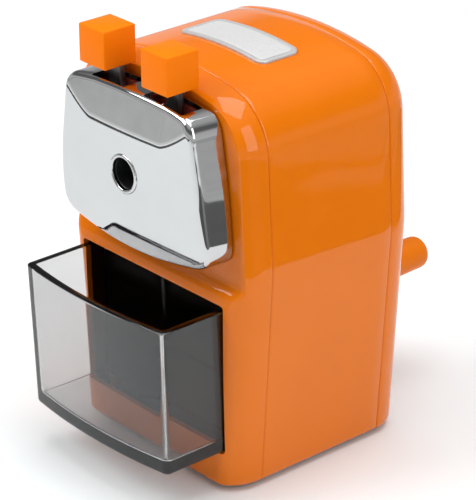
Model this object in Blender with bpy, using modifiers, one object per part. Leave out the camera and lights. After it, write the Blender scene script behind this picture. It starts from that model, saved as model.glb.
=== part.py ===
"""Crank pencil sharpener with a sprung chrome face plate, squeeze buttons and a shavings drawer.

Run with: blender --background --python part.py

All sizes below are millimetres in casing coordinates:
  x       sideways from the symmetry plane,
  depth   behind the casing's front face (negative is in front of it),
  height  above the casing's lower edge.
place() turns them into Blender's metres, with -Y to the front, +Z up, and the
origin under the middle of the base pad.
"""
import math

import bmesh
import bpy
from mathutils import Matrix, Vector

MM = 0.001
GAP = 0.3
FINE = 0.00001

# Casing
FLOOR_CLEARANCE = 1.2
BODY_DEPTH = 66.6
WALL = 1.8
FOOT_HALF_WIDTH = 34.2
KINK_HALF_WIDTH = 39.1
KINK_HEIGHT = 67.0
SHOULDER_HALF_WIDTH = 37.4
SHOULDER_HEIGHT = 100.5
SHOULDER_RADIUS = 18.0
SHOULDER_LEAN = math.radians(2.9)
CROWN_SLOPE = math.radians(12.0)
FRONT_ROUND_WIDTH = 7.0
FRONT_ROUND_DEPTH = 11.3
REAR_ROUND = 10.0
FRONT_SEAM = 11.3
REAR_SEAM = 56.3
RECESS_DEPTH = 3.0
LEDGE_BOTTOM = 59.0
LEDGE_TOP = 64.5
LABEL_HALF_SIZE = (17.7, 7.6)
LABEL_DEPTH = 33.4
LABEL_THICKNESS = 0.5

# Base
SCREW_X = 21.0
SCREW_SPREAD = 17.0
SCREW_SPOTS = [
    (x, BODY_DEPTH / 2 + step) for step in (-SCREW_SPREAD, SCREW_SPREAD) for x in (-SCREW_X, SCREW_X)
]
SCREW_HEAD_LOW = 0.5 - FLOOR_CLEARANCE
SCREW_HEAD_RADIUS = 3.0
SCREW_RADIUS = 1.3
SCREW_HOLE_RADIUS = 1.6
PAD_HALF_WIDTH = 28.0
PAD_HALF_DEPTH = 26.0
PAD_TOP = 1.7 - FLOOR_CLEARANCE
PLATE_LOW = 2.0 - FLOOR_CLEARANCE
PLATE_HIGH = 4.0 - FLOOR_CLEARANCE

# Drawer bay and the deck over it
LINER_HALF_WIDTH = 32.4
LINER_WALL = 1.2
LINER_DEPTHS = (8.0, 54.2)
LINER_LOW = 9.6
LINER_FLOOR = 10.9
LINER_TOP = 59.0
BOSS_RADIUS = 3.2
DECK_HEIGHTS = (59.6, 61.4)
CHUTE_HALF_WIDTH = 13.0
CHUTE_DEPTHS = (20.0, 47.0)
CHUTE_HEIGHTS = (61.7, 78.0)
CHUTE_WALL = 1.5

# Drawer and its opening
OPENING_TOP_HALF = 31.0
OPENING_FOOT_HALF = 30.5
OPENING_LOW = 11.2
OPENING_HIGH = 57.9
DRAWER_TOP_HALF = 30.6
DRAWER_FOOT_HALF = 30.0
DRAWER_LOW = 11.7
DRAWER_HIGH = 56.3
DRAWER_FRONT_TOP = -21.3
DRAWER_FRONT_FOOT = -20.0
DRAWER_BACK = 29.0
DRAWER_BOW = 2.4
DRAWER_WALL = 1.7
DRAWER_FLOOR = 2.6

# Face plate (the sprung carriage's chrome cover)
FACE_DEPTH = -9.0
FACE_CROWN = 1.8
FACE_BACK = 2.4
FACE_WALL = 1.3
FACE_HALF_WIDTH = 31.6
BROW_HEIGHT = 103.2
BROW_SETBACK = 2.2
CHIN_START = 92.0
CHIN_CURVE = 0.0033
SLOT_NEAR = 2.2
SLOT_FAR = 22.3
SLOT_DEPTHS = (-5.6, 1.4)

# Crank axis, pencil bore and guide rods
AXIS_HEIGHT = 90.4
HOLE_RADIUS = 5.2
TUBE_RADIUS = 6.6
ROD_X = 24.0
ROD_HEIGHT = 86.0
ROD_RADIUS = 2.0
ROD_START = 2.7
ROD_END = 60.0
ROD_PLAY = 0.2
ROD_WAY_RADIUS = 3.7
SPRING_RADIUS = 3.2
SPRING_WIRE = 0.45

# Squeeze levers
BUTTON_SIZE = 11.2
BUTTON_X = 13.4
BUTTON_DEPTH = -2.75
BUTTON_LOW = 118.1
PIVOT_X = 10.0
PIVOT_HEIGHT = 104.0
LEVER_PIN_RADIUS = 1.5
LEVER_DEPTHS = (-1.6, 0.8)
STEM_X = 12.6
STEM_HALF_WIDTH = 3.6
STEM_DEPTHS = (-2.6, 1.2)
STEM_HEIGHTS = (111.2, 123.0)
JAW_SPRING_HALF = 7.8
JAW_SPRING_SPOT = (-0.5, 109.6)

# Planet cutter
MODULE = 0.9
RING_TEETH = 33
PINION_TEETH = 10
RING_PITCH_RADIUS = MODULE * RING_TEETH / 2
PINION_PITCH_RADIUS = MODULE * PINION_TEETH / 2
PLANET_OFFSET = RING_PITCH_RADIUS - PINION_PITCH_RADIUS
CUTTER_TILT = math.atan(0.2035)
PINION_DEPTH = 13.7
CUTTER_RADIUS = 5.2
CUTTER_START = 5.6
CUTTER_LENGTH = 21.4
CUTTER_TWIST = math.radians(110)
CUTTER_FLUTES = 10
AXLE_RADIUS = 1.5
HOUSING_RADIUS = 18.5
HOUSING_BORE = 16.8
CARRIER_RADIUS = 13.2
CARRIER_BAR_CIRCLE = 11.0
CARRIER_BAR_ANGLES = (205, 335)
HUB_RADIUS = 4.75
HUB_BORE = 4.1
REAR_HUB_RADIUS = 5.0

# Crank
SHAFT_RADIUS = 3.0
CRANK_X = 6.7
CRANK_DROP = 54.8
ARM_DEPTHS = (70.0, 72.6)
KNOB_START = 74.0
KNOB_END = 100.5
KNOB_ROOT_RADIUS = 5.7
KNOB_TIP_RADIUS = 5.0
KNOB_BORE = 1.9
KNOB_EDGE = 0.8
KNOB_TIP_ROUND = 2.6
KNOB_PIN_RADIUS = 1.5
KNOB_PIN_END = 97.0

# name: (base colour, roughness, metallic, alpha)
FINISHES = {
    "orange_gloss": ((0.90, 0.23, 0.015), 0.18, 0.0, 1.0),
    "orange_satin": ((0.93, 0.25, 0.02), 0.42, 0.0, 1.0),
    "chrome": ((0.86, 0.87, 0.88), 0.06, 1.0, 1.0),
    "steel": ((0.55, 0.55, 0.56), 0.30, 1.0, 1.0),
    "tool_steel": ((0.33, 0.33, 0.35), 0.28, 1.0, 1.0),
    "black_plastic": ((0.012, 0.012, 0.013), 0.45, 0.0, 1.0),
    "grey_plastic": ((0.16, 0.16, 0.17), 0.40, 0.0, 1.0),
    "smoke_plastic": ((0.10, 0.07, 0.065), 0.08, 0.0, 0.45),
    "rubber": ((0.02, 0.02, 0.02), 0.80, 0.0, 1.0),
    "silver_label": ((0.80, 0.80, 0.80), 0.30, 0.6, 1.0),
    "bronze": ((0.55, 0.36, 0.16), 0.35, 1.0, 1.0),
}


# ---------------------------------------------------------------- scene set-up


def clear_scene():
    for thing in list(bpy.data.objects):
        bpy.data.objects.remove(thing, do_unlink=True)


def make_collection(name, hidden=False):
    made = bpy.data.collections.new(name)
    bpy.context.scene.collection.children.link(made)
    made.hide_render = hidden
    return made


def make_finish(name):
    colour, roughness, metallic, alpha = FINISHES[name]
    finish = bpy.data.materials.new(name)
    finish.use_nodes = True
    shader = finish.node_tree.nodes["Principled BSDF"]
    shader.inputs["Base Color"].default_value = (*colour, 1.0)
    shader.inputs["Roughness"].default_value = roughness
    shader.inputs["Metallic"].default_value = metallic
    shader.inputs["Alpha"].default_value = alpha
    finish.diffuse_color = (*colour, alpha)
    return finish


clear_scene()
PARTS = make_collection("crank_pencil_sharpener")
CUTTERS = make_collection("cutters", hidden=True)
MATERIALS = {name: make_finish(name) for name in FINISHES}


def place(x, depth, height):
    """World position, in metres, of a point in casing coordinates."""
    return Vector((x, depth - BODY_DEPTH / 2, height + FLOOR_CLEARANCE)) * MM


def add_object(name, data, finish):
    """Links new data as a part, or as a hidden cutter when it has no finish."""
    made = bpy.data.objects.new(name, data)
    if finish:
        data.materials.append(MATERIALS[finish])
        PARTS.objects.link(made)
    else:
        hide_as_cutter(made)
    return made


def hide_as_cutter(thing):
    for held in list(thing.users_collection):
        held.objects.unlink(thing)
    CUTTERS.objects.link(thing)
    thing.hide_render = True
    thing.display_type = "WIRE"


def finish_mesh(name, bm, finish, smooth=False):
    bmesh.ops.recalc_face_normals(bm, faces=bm.faces)
    mesh = bpy.data.meshes.new(name)
    bm.to_mesh(mesh)
    bm.free()
    if smooth:
        mesh.shade_smooth()
        mesh.set_sharp_from_angle(angle=math.radians(35))
    return add_object(name, mesh, finish)


# ---------------------------------------------------------------- basic shapes


def box(name, xs, depths, heights, finish=None):
    low, high = place(xs[0], depths[0], heights[0]), place(xs[1], depths[1], heights[1])
    bm = bmesh.new()
    bmesh.ops.create_cube(bm, size=1.0)
    for vertex in bm.verts:
        vertex.co = Vector([(high[i] - low[i]) * vertex.co[i] for i in range(3)])
    made = finish_mesh(name, bm, finish)
    made.location = (low + high) / 2
    return made


def extruded(name, corners, shift, finish):
    """A flat face of world points carried along a shift in millimetres."""
    bm = bmesh.new()
    face = bm.faces.new([bm.verts.new(corner) for corner in corners])
    grown = bmesh.ops.extrude_face_region(bm, geom=[face])["geom"]
    moved = [item for item in grown if isinstance(item, bmesh.types.BMVert)]
    bmesh.ops.translate(bm, verts=moved, vec=Vector(shift) * MM)
    return finish_mesh(name, bm, finish)


def prism(name, outline, depths, finish=None):
    """An outline of (x, height) points carried from one depth to another."""
    near, far = depths
    corners = [place(x, near, height) for x, height in outline]
    return extruded(name, corners, (0, far - near, 0), finish)


def slab(name, outline, heights, finish=None):
    """An outline of (x, depth) points carried from one height to another."""
    low, high = heights
    corners = [place(x, depth, low) for x, depth in outline]
    return extruded(name, corners, (0, 0, high - low), finish)


def loft(name, rings, finish=None, smooth=True):
    """A closed skin over rings that have the same number of world points."""
    bm = bmesh.new()
    levels = [[bm.verts.new(point) for point in ring] for ring in rings]
    count = len(levels[0])
    for lower, upper in zip(levels, levels[1:]):
        for i in range(count):
            j = (i + 1) % count
            bm.faces.new((lower[i], lower[j], upper[j], upper[i]))
    bm.faces.new(levels[0])
    bm.faces.new(levels[-1])
    return finish_mesh(name, bm, finish, smooth)


def signed_area(points):
    pairs = zip(points, points[1:] + points[:1])
    return sum(a[0] * b[1] - b[0] * a[1] for a, b in pairs) / 2


def turned(name, profile, finish=None, x=0.0, height=AXIS_HEIGHT, steps=32):
    """A (radius, depth) profile spun about an axis that runs front to back."""
    points = list(profile)
    if signed_area(points) > 0:
        points.reverse()
    on_axis = [i for i, (radius, _) in enumerate(points) if radius == 0]
    if on_axis:
        start = on_axis[1] if len(on_axis) > 1 and on_axis[1] == on_axis[0] + 1 else on_axis[0]
        points = points[start:] + points[:start]
    bm = bmesh.new()
    verts = [bm.verts.new((radius * MM, 0, depth * MM)) for radius, depth in points]
    links = list(zip(verts, verts[1:]))
    if not on_axis:
        links.append((verts[-1], verts[0]))
    for ends in links:
        bm.edges.new(ends)
    mesh = bpy.data.meshes.new(name)
    bm.to_mesh(mesh)
    bm.free()
    made = add_object(name, mesh, finish)
    screw = made.modifiers.new("turn", "SCREW")
    screw.steps = screw.render_steps = steps
    screw.use_merge_vertices = True
    screw.merge_threshold = FINE
    screw.use_smooth_shade = False
    made.rotation_euler = (math.radians(-90), 0, 0)
    made.location = place(x, 0, height)
    return made


def pin(name, radius, depths, finish=None, x=0.0, height=AXIS_HEIGHT, steps=24):
    """A plain round pin along the depth direction."""
    near, far = depths
    return turned(name, [(0, near), (radius, near), (radius, far), (0, far)], finish, x, height, steps)


def sleeve(name, radius, bore, depths, finish=None, x=0.0, height=AXIS_HEIGHT, steps=32):
    """A round sleeve along the depth direction."""
    near, far = depths
    profile = [(bore, near), (radius, near), (radius, far), (bore, far)]
    return turned(name, profile, finish, x, height, steps)


def upright(name, profile, x, depth, finish=None, steps=20):
    """A (radius, height) profile spun about a vertical axis."""
    made = turned(name, profile, finish, steps=steps)
    made.rotation_euler = (0, 0, 0)
    made.location = place(x, depth, 0)
    return made


def upright_pin(name, radius, heights, x, depth):
    low, high = heights
    return upright(name, [(0, low), (radius, low), (radius, high), (0, high)], x, depth)


def boolean(target, operation, other):
    hide_as_cutter(other)
    change = target.modifiers.new(operation.lower(), "BOOLEAN")
    change.operation = operation
    change.solver = "EXACT"
    change.object = other
    return target


def cut(target, *others):
    for other in others:
        boolean(target, "DIFFERENCE", other)
    return target


def join(target, *others):
    for other in others:
        boolean(target, "UNION", other)
    return target


def coil(name, start, end, radius, wire, turns, finish):
    """A wire coil between two points, as a curve with filled caps."""
    axis = (end - start).normalized()
    side = axis.orthogonal().normalized()
    other = axis.cross(side)
    per_turn = 9
    curve = bpy.data.curves.new(name, "CURVE")
    curve.dimensions = "3D"
    curve.bevel_depth = wire * MM
    curve.bevel_resolution = 2
    curve.use_fill_caps = True
    spline = curve.splines.new("POLY")
    spline.points.add(turns * per_turn)
    for i, point in enumerate(spline.points):
        angle = 2 * math.pi * i / per_turn
        along = start + (end - start) * i / (turns * per_turn)
        spot = along + (side * math.cos(angle) + other * math.sin(angle)) * radius * MM
        point.co = (*spot, 1.0)
    return add_object(name, curve, finish)


# ---------------------------------------------------------------- casing outline


def casing_half_profile():
    """Right half of the casing's outline as (x, height, normal x, normal height)."""
    foot_normal = Vector((1, 0))
    side_normal = Vector((math.cos(SHOULDER_LEAN), math.sin(SHOULDER_LEAN)))
    points = [
        (FOOT_HALF_WIDTH, 0.0, *foot_normal),
        (KINK_HALF_WIDTH, KINK_HEIGHT, *foot_normal),
        (SHOULDER_HALF_WIDTH, SHOULDER_HEIGHT, *side_normal),
    ]
    start = Vector((SHOULDER_HALF_WIDTH, SHOULDER_HEIGHT))
    centre = start - SHOULDER_RADIUS * side_normal
    end_angle = math.pi / 2 - CROWN_SLOPE
    steps = 8
    for i in range(1, steps + 1):
        angle = SHOULDER_LEAN + (end_angle - SHOULDER_LEAN) * i / steps
        normal = Vector((math.cos(angle), math.sin(angle)))
        points.append((*(centre + SHOULDER_RADIUS * normal), *normal))
    edge_x, edge_height = points[-1][:2]
    crown_radius = edge_x / math.sin(CROWN_SLOPE)
    steps = 4
    for i in range(1, steps + 1):
        slope = CROWN_SLOPE * (1 - i / steps)
        drop = crown_radius * (math.cos(slope) - math.cos(CROWN_SLOPE))
        normal = (math.sin(slope), math.cos(slope))
        points.append((crown_radius * math.sin(slope), edge_height + drop, *normal))
    return points


def casing_ring(depth, inset, floor=0.0):
    """Closed ring of the casing's outline, pulled in by inset, at one depth."""
    half = [(x - inset * nx, h - inset * nh) for x, h, nx, nh in casing_half_profile()]
    half[0] = (half[0][0], floor)
    mirrored = [(-x, h) for x, h in reversed(half[:-1])]
    return [place(x, depth, h) for x, h in half + mirrored]


def front_rings(wall, back, floor):
    """Rings of the front panel's outer (wall 0) or inner skin, back to front."""
    angles = [math.radians(step) for step in (0, 22, 40, 56, 70, 82, 90)]
    rings = [casing_ring(back, wall, floor)]
    for angle in angles:
        depth = FRONT_ROUND_DEPTH - (FRONT_ROUND_DEPTH - wall) * math.sin(angle)
        inset = wall + (FRONT_ROUND_WIDTH - wall) * (1 - math.cos(angle))
        if depth < back:
            rings.append(casing_ring(depth, inset, floor))
    return rings


def rear_rings(wall, back, floor):
    """Rings of the rear panel's outer (wall 0) or inner skin, front to back."""
    start = BODY_DEPTH - REAR_ROUND
    angles = [math.radians(step) for step in (0, 18, 36, 54, 72, 90)]
    rings = [casing_ring(back, wall, floor)]
    for angle in angles:
        depth = start + (REAR_ROUND - wall) * math.sin(angle)
        inset = wall + (REAR_ROUND - wall) * (1 - math.cos(angle))
        if depth > back:
            rings.append(casing_ring(depth, inset, floor))
    return rings


# ---------------------------------------------------------------- casing parts


def recess_block(name, wall):
    """What is taken off the upper front, leaving a rounded ledge below it."""
    floor_depth = RECESS_DEPTH + wall
    start = Vector((-1.0 + wall, LEDGE_BOTTOM - wall))
    rise = LEDGE_TOP - LEDGE_BOTTOM
    run = floor_depth - start[0]
    outline = []
    for i in range(6):
        angle = math.radians(90) * i / 5
        outline.append((start[0] + run * (1 - math.cos(angle)), start[1] + rise * math.sin(angle)))
    outline += [(floor_depth, 140.0), (-30.0, 140.0), (-30.0, start[1])]
    reach = 60.0
    corners = [place(-reach, depth, height) for depth, height in outline]
    return extruded(name, corners, (2 * reach, 0, 0), None)


def opening_block(name, depths):
    """What the drawer's opening takes off the front."""
    top, foot = OPENING_TOP_HALF, OPENING_FOOT_HALF
    outline = [(foot, OPENING_LOW), (top, OPENING_HIGH), (-top, OPENING_HIGH), (-foot, OPENING_LOW)]
    return prism(name, outline, depths)


def make_front_panel():
    panel = loft("front_panel", front_rings(0.0, FRONT_SEAM - GAP, 0.0), "orange_gloss")
    cut(panel, recess_block("cut_recess", 0.0))
    inside = loft("cut_front_inside", front_rings(WALL, FRONT_SEAM + 2, -5.0))
    cut(inside, recess_block("cut_recess_inside", WALL))
    cut(panel, inside, opening_block("cut_opening", (-5, 8)))
    cut(panel, pin("cut_pencil_way", HUB_RADIUS + 2.0, (-5, 9)))
    for side, x in (("left", -ROD_X), ("right", ROD_X)):
        cut(panel, pin(f"cut_{side}_rod_way", ROD_WAY_RADIUS, (-5, 9), x=x, height=ROD_HEIGHT))
    return panel


def make_middle_shell():
    """The wrap over both sides and the top, between the two seams."""
    half = [(x, h) for x, h, _, _ in casing_half_profile()]
    outline = half + [(-x, h) for x, h in reversed(half[:-1])]
    bm = bmesh.new()
    rows = []
    for depth in (FRONT_SEAM, REAR_SEAM - GAP):
        rows.append([bm.verts.new(place(x, depth, h)) for x, h in outline])
    for i in range(len(outline) - 1):
        bm.faces.new((rows[0][i], rows[0][i + 1], rows[1][i + 1], rows[1][i]))
    for face in bm.faces:
        face.normal_update()
        if face.normal.z < 0 or face.normal.x * face.calc_center_median().x < 0:
            face.normal_flip()
    mesh = bpy.data.meshes.new("middle_shell")
    bm.to_mesh(mesh)
    bm.free()
    shell = add_object("middle_shell", mesh, "orange_gloss")
    skin = shell.modifiers.new("wall", "SOLIDIFY")
    skin.thickness = WALL * MM
    skin.offset = -1.0
    return shell


def make_rear_panel():
    panel = loft("rear_panel", rear_rings(0.0, REAR_SEAM, 0.0), "orange_gloss")
    cut(panel, loft("cut_rear_inside", rear_rings(WALL, REAR_SEAM - 2, -5.0)))
    cut(panel, pin("cut_shaft_way", 5.8, (60, 70)))
    return panel


def plan_outline(inset):
    """The casing's footprint as (x, depth) points, pulled in by inset."""
    half_width = FOOT_HALF_WIDTH - inset
    front_w, front_l = FRONT_ROUND_WIDTH, FRONT_ROUND_DEPTH - inset
    rear = REAR_ROUND - inset / 2
    angles = [math.radians(step) for step in (0, 22.5, 45, 67.5, 90)]
    half = []
    for angle in angles:
        x = half_width - front_w * (1 - math.sin(angle))
        half.append((x, inset + front_l * (1 - math.cos(angle))))
    for angle in angles:
        x = half_width - rear * (1 - math.cos(angle))
        half.append((x, BODY_DEPTH - inset - rear * (1 - math.sin(angle))))
    return half + [(-x, depth) for x, depth in reversed(half)]


def rounded_rectangle(half_x, half_y, radius, centre=(0.0, 0.0), steps=4):
    points = []
    corners = ((1, 1, 0), (-1, 1, 90), (-1, -1, 180), (1, -1, 270))
    for sx, sy, start in corners:
        for i in range(steps + 1):
            angle = math.radians(start + 90 * i / steps)
            x = centre[0] + sx * (half_x - radius) + radius * math.cos(angle)
            y = centre[1] + sy * (half_y - radius) + radius * math.sin(angle)
            points.append((x, y))
    return points


def make_base():
    """Base plate, non-slip pad and the four screws that hold the plate."""
    plate = slab("base_plate", plan_outline(WALL + 0.5), (PLATE_LOW, PLATE_HIGH), "black_plastic")
    middle = (0.0, BODY_DEPTH / 2)
    outline = rounded_rectangle(PAD_HALF_WIDTH, PAD_HALF_DEPTH, 6.0, middle)
    pad = slab("base_pad", outline, (-FLOOR_CLEARANCE, PAD_TOP), "rubber")
    tip = LINER_LOW - 1.5
    head = [(0, SCREW_HEAD_LOW), (SCREW_HEAD_RADIUS, SCREW_HEAD_LOW), (SCREW_HEAD_RADIUS, PAD_TOP)]
    screw = head + [(SCREW_RADIUS, PAD_TOP), (SCREW_RADIUS, tip), (0, tip)]
    for number, (x, depth) in enumerate(SCREW_SPOTS, start=1):
        upright(f"base_screw_{number}", screw, x, depth, "steel")
        well = upright_pin(f"cut_pad_{number}", SCREW_HEAD_RADIUS + 0.4, (-3.0, 1.0), x, depth)
        cut(pad, well)
        cut(plate, upright_pin(f"cut_plate_{number}", SCREW_HOLE_RADIUS, (-1.0, 6.0), x, depth))


def make_bay_liner():
    """The black tray that the drawer slides in, with bosses for the base screws."""
    outer, inner = LINER_HALF_WIDTH, LINER_HALF_WIDTH - LINER_WALL
    liner = box("bay_liner", (-outer, outer), LINER_DEPTHS, (LINER_LOW, LINER_TOP), "black_plastic")
    bay_depths = (-2.0, LINER_DEPTHS[1] - LINER_WALL)
    cut(liner, box("cut_bay", (-inner, inner), bay_depths, (LINER_FLOOR, LINER_TOP + 6)))
    for number, (x, depth) in enumerate(SCREW_SPOTS, start=1):
        heights = (PLATE_HIGH + GAP, LINER_LOW + 0.6)
        join(liner, upright_pin(f"boss_{number}", BOSS_RADIUS, heights, x, depth))
    for number, (x, depth) in enumerate(SCREW_SPOTS, start=1):
        heights = (0.0, LINER_LOW - 0.6)
        cut(liner, upright_pin(f"cut_boss_{number}", SCREW_HOLE_RADIUS, heights, x, depth))


def make_deck():
    """The shelf over the drawer, and the chute that drops shavings through it."""
    outer, inner = CHUTE_HALF_WIDTH, CHUTE_HALF_WIDTH - CHUTE_WALL
    well = (CHUTE_DEPTHS[0] + CHUTE_WALL, CHUTE_DEPTHS[1] - CHUTE_WALL)
    deck = box("deck_plate", (-35.5, 35.5), (12.0, 55.5), DECK_HEIGHTS, "black_plastic")
    cut(deck, box("cut_deck", (-inner, inner), well, (55, 65)))
    chute = box("shavings_chute", (-outer, outer), CHUTE_DEPTHS, CHUTE_HEIGHTS, "grey_plastic")
    cut(chute, box("cut_chute", (-inner, inner), well, (58, 90)))
    cut(chute, pin("cut_chute_saddle", HOUSING_RADIUS + GAP, (10, 60), steps=48))


def crown_arc(lift):
    """(x, height) points this far above the top's crown, right to left."""
    edge_x, edge_height = casing_half_profile()[-5][:2]
    radius = edge_x / math.sin(CROWN_SLOPE)
    centre = edge_height - radius * math.cos(CROWN_SLOPE)
    steps = 8
    xs = [edge_x * (1 - 2 * i / steps) for i in range(steps + 1)]
    return [(x, centre + math.sqrt((radius + lift) ** 2 - x * x)) for x in xs]


def make_top_label():
    """A thin plate that follows the crown of the top."""
    band = crown_arc(GAP) + crown_arc(GAP + LABEL_THICKNESS)[::-1]
    label = prism("top_label", band, (20, 50), "silver_label")
    outline = rounded_rectangle(*LABEL_HALF_SIZE, 3.0, (0.0, LABEL_DEPTH))
    boolean(label, "INTERSECT", slab("trim_label", outline, (110, 130)))


# ---------------------------------------------------------------- drawer


def drawer_ring(height, inset, front_extra=0.0):
    share = (height - DRAWER_LOW) / (DRAWER_HIGH - DRAWER_LOW)
    half_width = DRAWER_FOOT_HALF + (DRAWER_TOP_HALF - DRAWER_FOOT_HALF) * share - inset
    front = DRAWER_FRONT_FOOT + (DRAWER_FRONT_TOP - DRAWER_FRONT_FOOT) * share + inset + front_extra
    points = []
    steps = 12
    for i in range(steps + 1):
        across = 2 * i / steps - 1
        points.append(place(across * half_width, front - DRAWER_BOW * (1 - across * across), height))
    back = DRAWER_BACK - inset
    return points + [place(half_width, back, height), place(-half_width, back, height)]


def make_drawer():
    outside = [drawer_ring(height, 0.0) for height in (DRAWER_LOW, DRAWER_HIGH)]
    heights = (DRAWER_LOW + DRAWER_FLOOR, DRAWER_HIGH + 5)
    inside = [drawer_ring(height, DRAWER_WALL, 0.3) for height in heights]
    drawer = loft("shavings_drawer", outside, "smoke_plastic", smooth=False)
    return cut(drawer, loft("cut_drawer_inside", inside, smooth=False))


# ---------------------------------------------------------------- carriage


def arc_points(centre, radius, start, end, steps):
    """Points on an arc, angles in degrees, (x, height)."""
    points = []
    for i in range(steps + 1):
        angle = math.radians(start + (end - start) * i / steps)
        points.append((centre[0] + radius * math.cos(angle), centre[1] + radius * math.sin(angle)))
    return points


def face_outline(inset):
    """Shield outline of the chrome cover: wide at the chin, narrow at the brow."""
    half = [(0.0, 66.8), (10.0, 67.2), (19.0, 68.3)]
    half += arc_points((26.0, 74.6), 5.6, -78, -8, 4)
    half += [(FACE_HALF_WIDTH, 79.0), (30.3, 92.0), (28.3, 104.0)]
    half += arc_points((23.2, 109.1), 4.1, 6, 78, 4)
    half += [(12.0, 114.4), (0.0, 114.9)]
    middle = Vector((0.0, AXIS_HEIGHT))
    pulled = []
    for x, height in half:
        scale_x = 1 - inset / FACE_HALF_WIDTH
        scale_h = 1 - inset / 24.0
        pulled.append((x * scale_x, middle[1] + (height - middle[1]) * scale_h))
    return pulled + [(-x, h) for x, h in reversed(pulled[1:-1])]


def face_depth(x, height):
    """Depth of the cover's front: crowned, with a brow that leans back and a curved chin."""
    depth = FACE_DEPTH + FACE_CROWN * (x / FACE_HALF_WIDTH) ** 2
    brow_line = BROW_HEIGHT + 6.5 * max(0.0, (abs(x) - 14.0) / 12.0)
    if height > brow_line:
        depth += BROW_SETBACK * (height - brow_line) / (114.9 - BROW_HEIGHT)
    if height < CHIN_START:
        depth += CHIN_CURVE * (CHIN_START - height) ** 2
    return depth


def face_block(name, shift, back, finish=None):
    """A block whose front follows the cover's front, this far behind it."""
    columns = [-36, -26, -20, -14, -7, 0, 7, 14, 20, 26, 36]
    rows = [60, 66, 72, 78, 85, CHIN_START, BROW_HEIGHT, 106.5, 109.7, 114, 121]
    bm = bmesh.new()
    front = [[bm.verts.new(place(x, face_depth(x, h) + shift, h)) for x in columns] for h in rows]
    rear = [[bm.verts.new(place(x, back, h)) for x in columns] for h in rows]
    for sheet in (front, rear):
        for low, high in zip(sheet, sheet[1:]):
            for i in range(len(columns) - 1):
                bm.faces.new((low[i], low[i + 1], high[i + 1], high[i]))
    border = [(0, i) for i in range(len(columns))]
    border += [(j, len(columns) - 1) for j in range(1, len(rows))]
    border += [(len(rows) - 1, i) for i in range(len(columns) - 2, -1, -1)]
    border += [(j, 0) for j in range(len(rows) - 2, 0, -1)]
    for (j, i), (next_j, next_i) in zip(border, border[1:] + border[:1]):
        bm.faces.new((front[j][i], front[next_j][next_i], rear[next_j][next_i], rear[j][i]))
    return finish_mesh(name, bm, finish)


def make_face_plate():
    plate = face_block("face_plate", 0.0, FACE_BACK, "chrome")
    boolean(plate, "INTERSECT", prism("trim_face", face_outline(0.0), (-15, 10)))
    hollow = face_block("cut_face_inside", FACE_WALL, FACE_BACK + 5)
    boolean(hollow, "INTERSECT", prism("trim_face_inside", face_outline(FACE_WALL), (-15, 10)))
    cut(plate, hollow, pin("cut_face_hole", TUBE_RADIUS + GAP, (-15, 5)))
    for side, sign in (("left", -1), ("right", 1)):
        xs = sorted((sign * SLOT_NEAR, sign * SLOT_FAR))
        cut(plate, box(f"cut_{side}_slot", xs, SLOT_DEPTHS, (108.0, 120.0)))
    return plate


def make_carriage_plate():
    plate = prism("carriage_plate", face_outline(FACE_WALL + 0.4), (1.3, FACE_BACK), "black_plastic")
    cut(plate, pin("cut_carriage_hole", 6.4, (-5, 9)))
    xs = (-SLOT_FAR, SLOT_FAR)
    return cut(plate, box("cut_carriage_top", xs, (0.5, 5.0), (111.0, 120.0)))


def make_pencil_tube():
    """The lined guide hole, with a lip that shows in front of the cover."""
    profile = [
        (HOLE_RADIUS + 0.5, FACE_DEPTH - 0.2),
        (TUBE_RADIUS, FACE_DEPTH + 0.1),
        (TUBE_RADIUS, -2.2),
        (HOLE_RADIUS, -2.2),
        (HOLE_RADIUS, FACE_DEPTH + 0.4),
    ]
    return turned("pencil_tube", profile, "black_plastic", steps=40)


def make_guide_rods():
    made = []
    for side, x in (("left", -ROD_X), ("right", ROD_X)):
        made.append(pin(f"{side}_guide_rod", ROD_RADIUS, (ROD_START, ROD_END), "steel", x, ROD_HEIGHT))
        bore = ROD_RADIUS + ROD_PLAY
        made.append(sleeve(f"{side}_rod_stop", 4.0, bore, (57.6, 59.6), "steel", x, ROD_HEIGHT))
        start, end = place(x, 9.3, ROD_HEIGHT), place(x, 56.7, ROD_HEIGHT)
        made.append(coil(f"{side}_return_spring", start, end, SPRING_RADIUS, SPRING_WIRE, 9, "steel"))
    return made


def make_rod_bushings():
    """Flanged sleeves that sit in the front panel and guide the rods."""
    bore, body, flange = ROD_RADIUS + ROD_PLAY, ROD_WAY_RADIUS - GAP, ROD_WAY_RADIUS + 1.1
    profile = [(bore, 3.1), (body, 3.1), (body, 5.1), (flange, 5.1), (flange, 6.6), (body, 6.6)]
    profile += [(body, 8.4), (bore, 8.4)]
    for side, x in (("left", -ROD_X), ("right", ROD_X)):
        turned(f"{side}_rod_bushing", profile, "bronze", x, ROD_HEIGHT)


# ---------------------------------------------------------------- squeeze levers


def mirrored(outline, sign):
    return [(sign * x, height) for x, height in outline]


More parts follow.
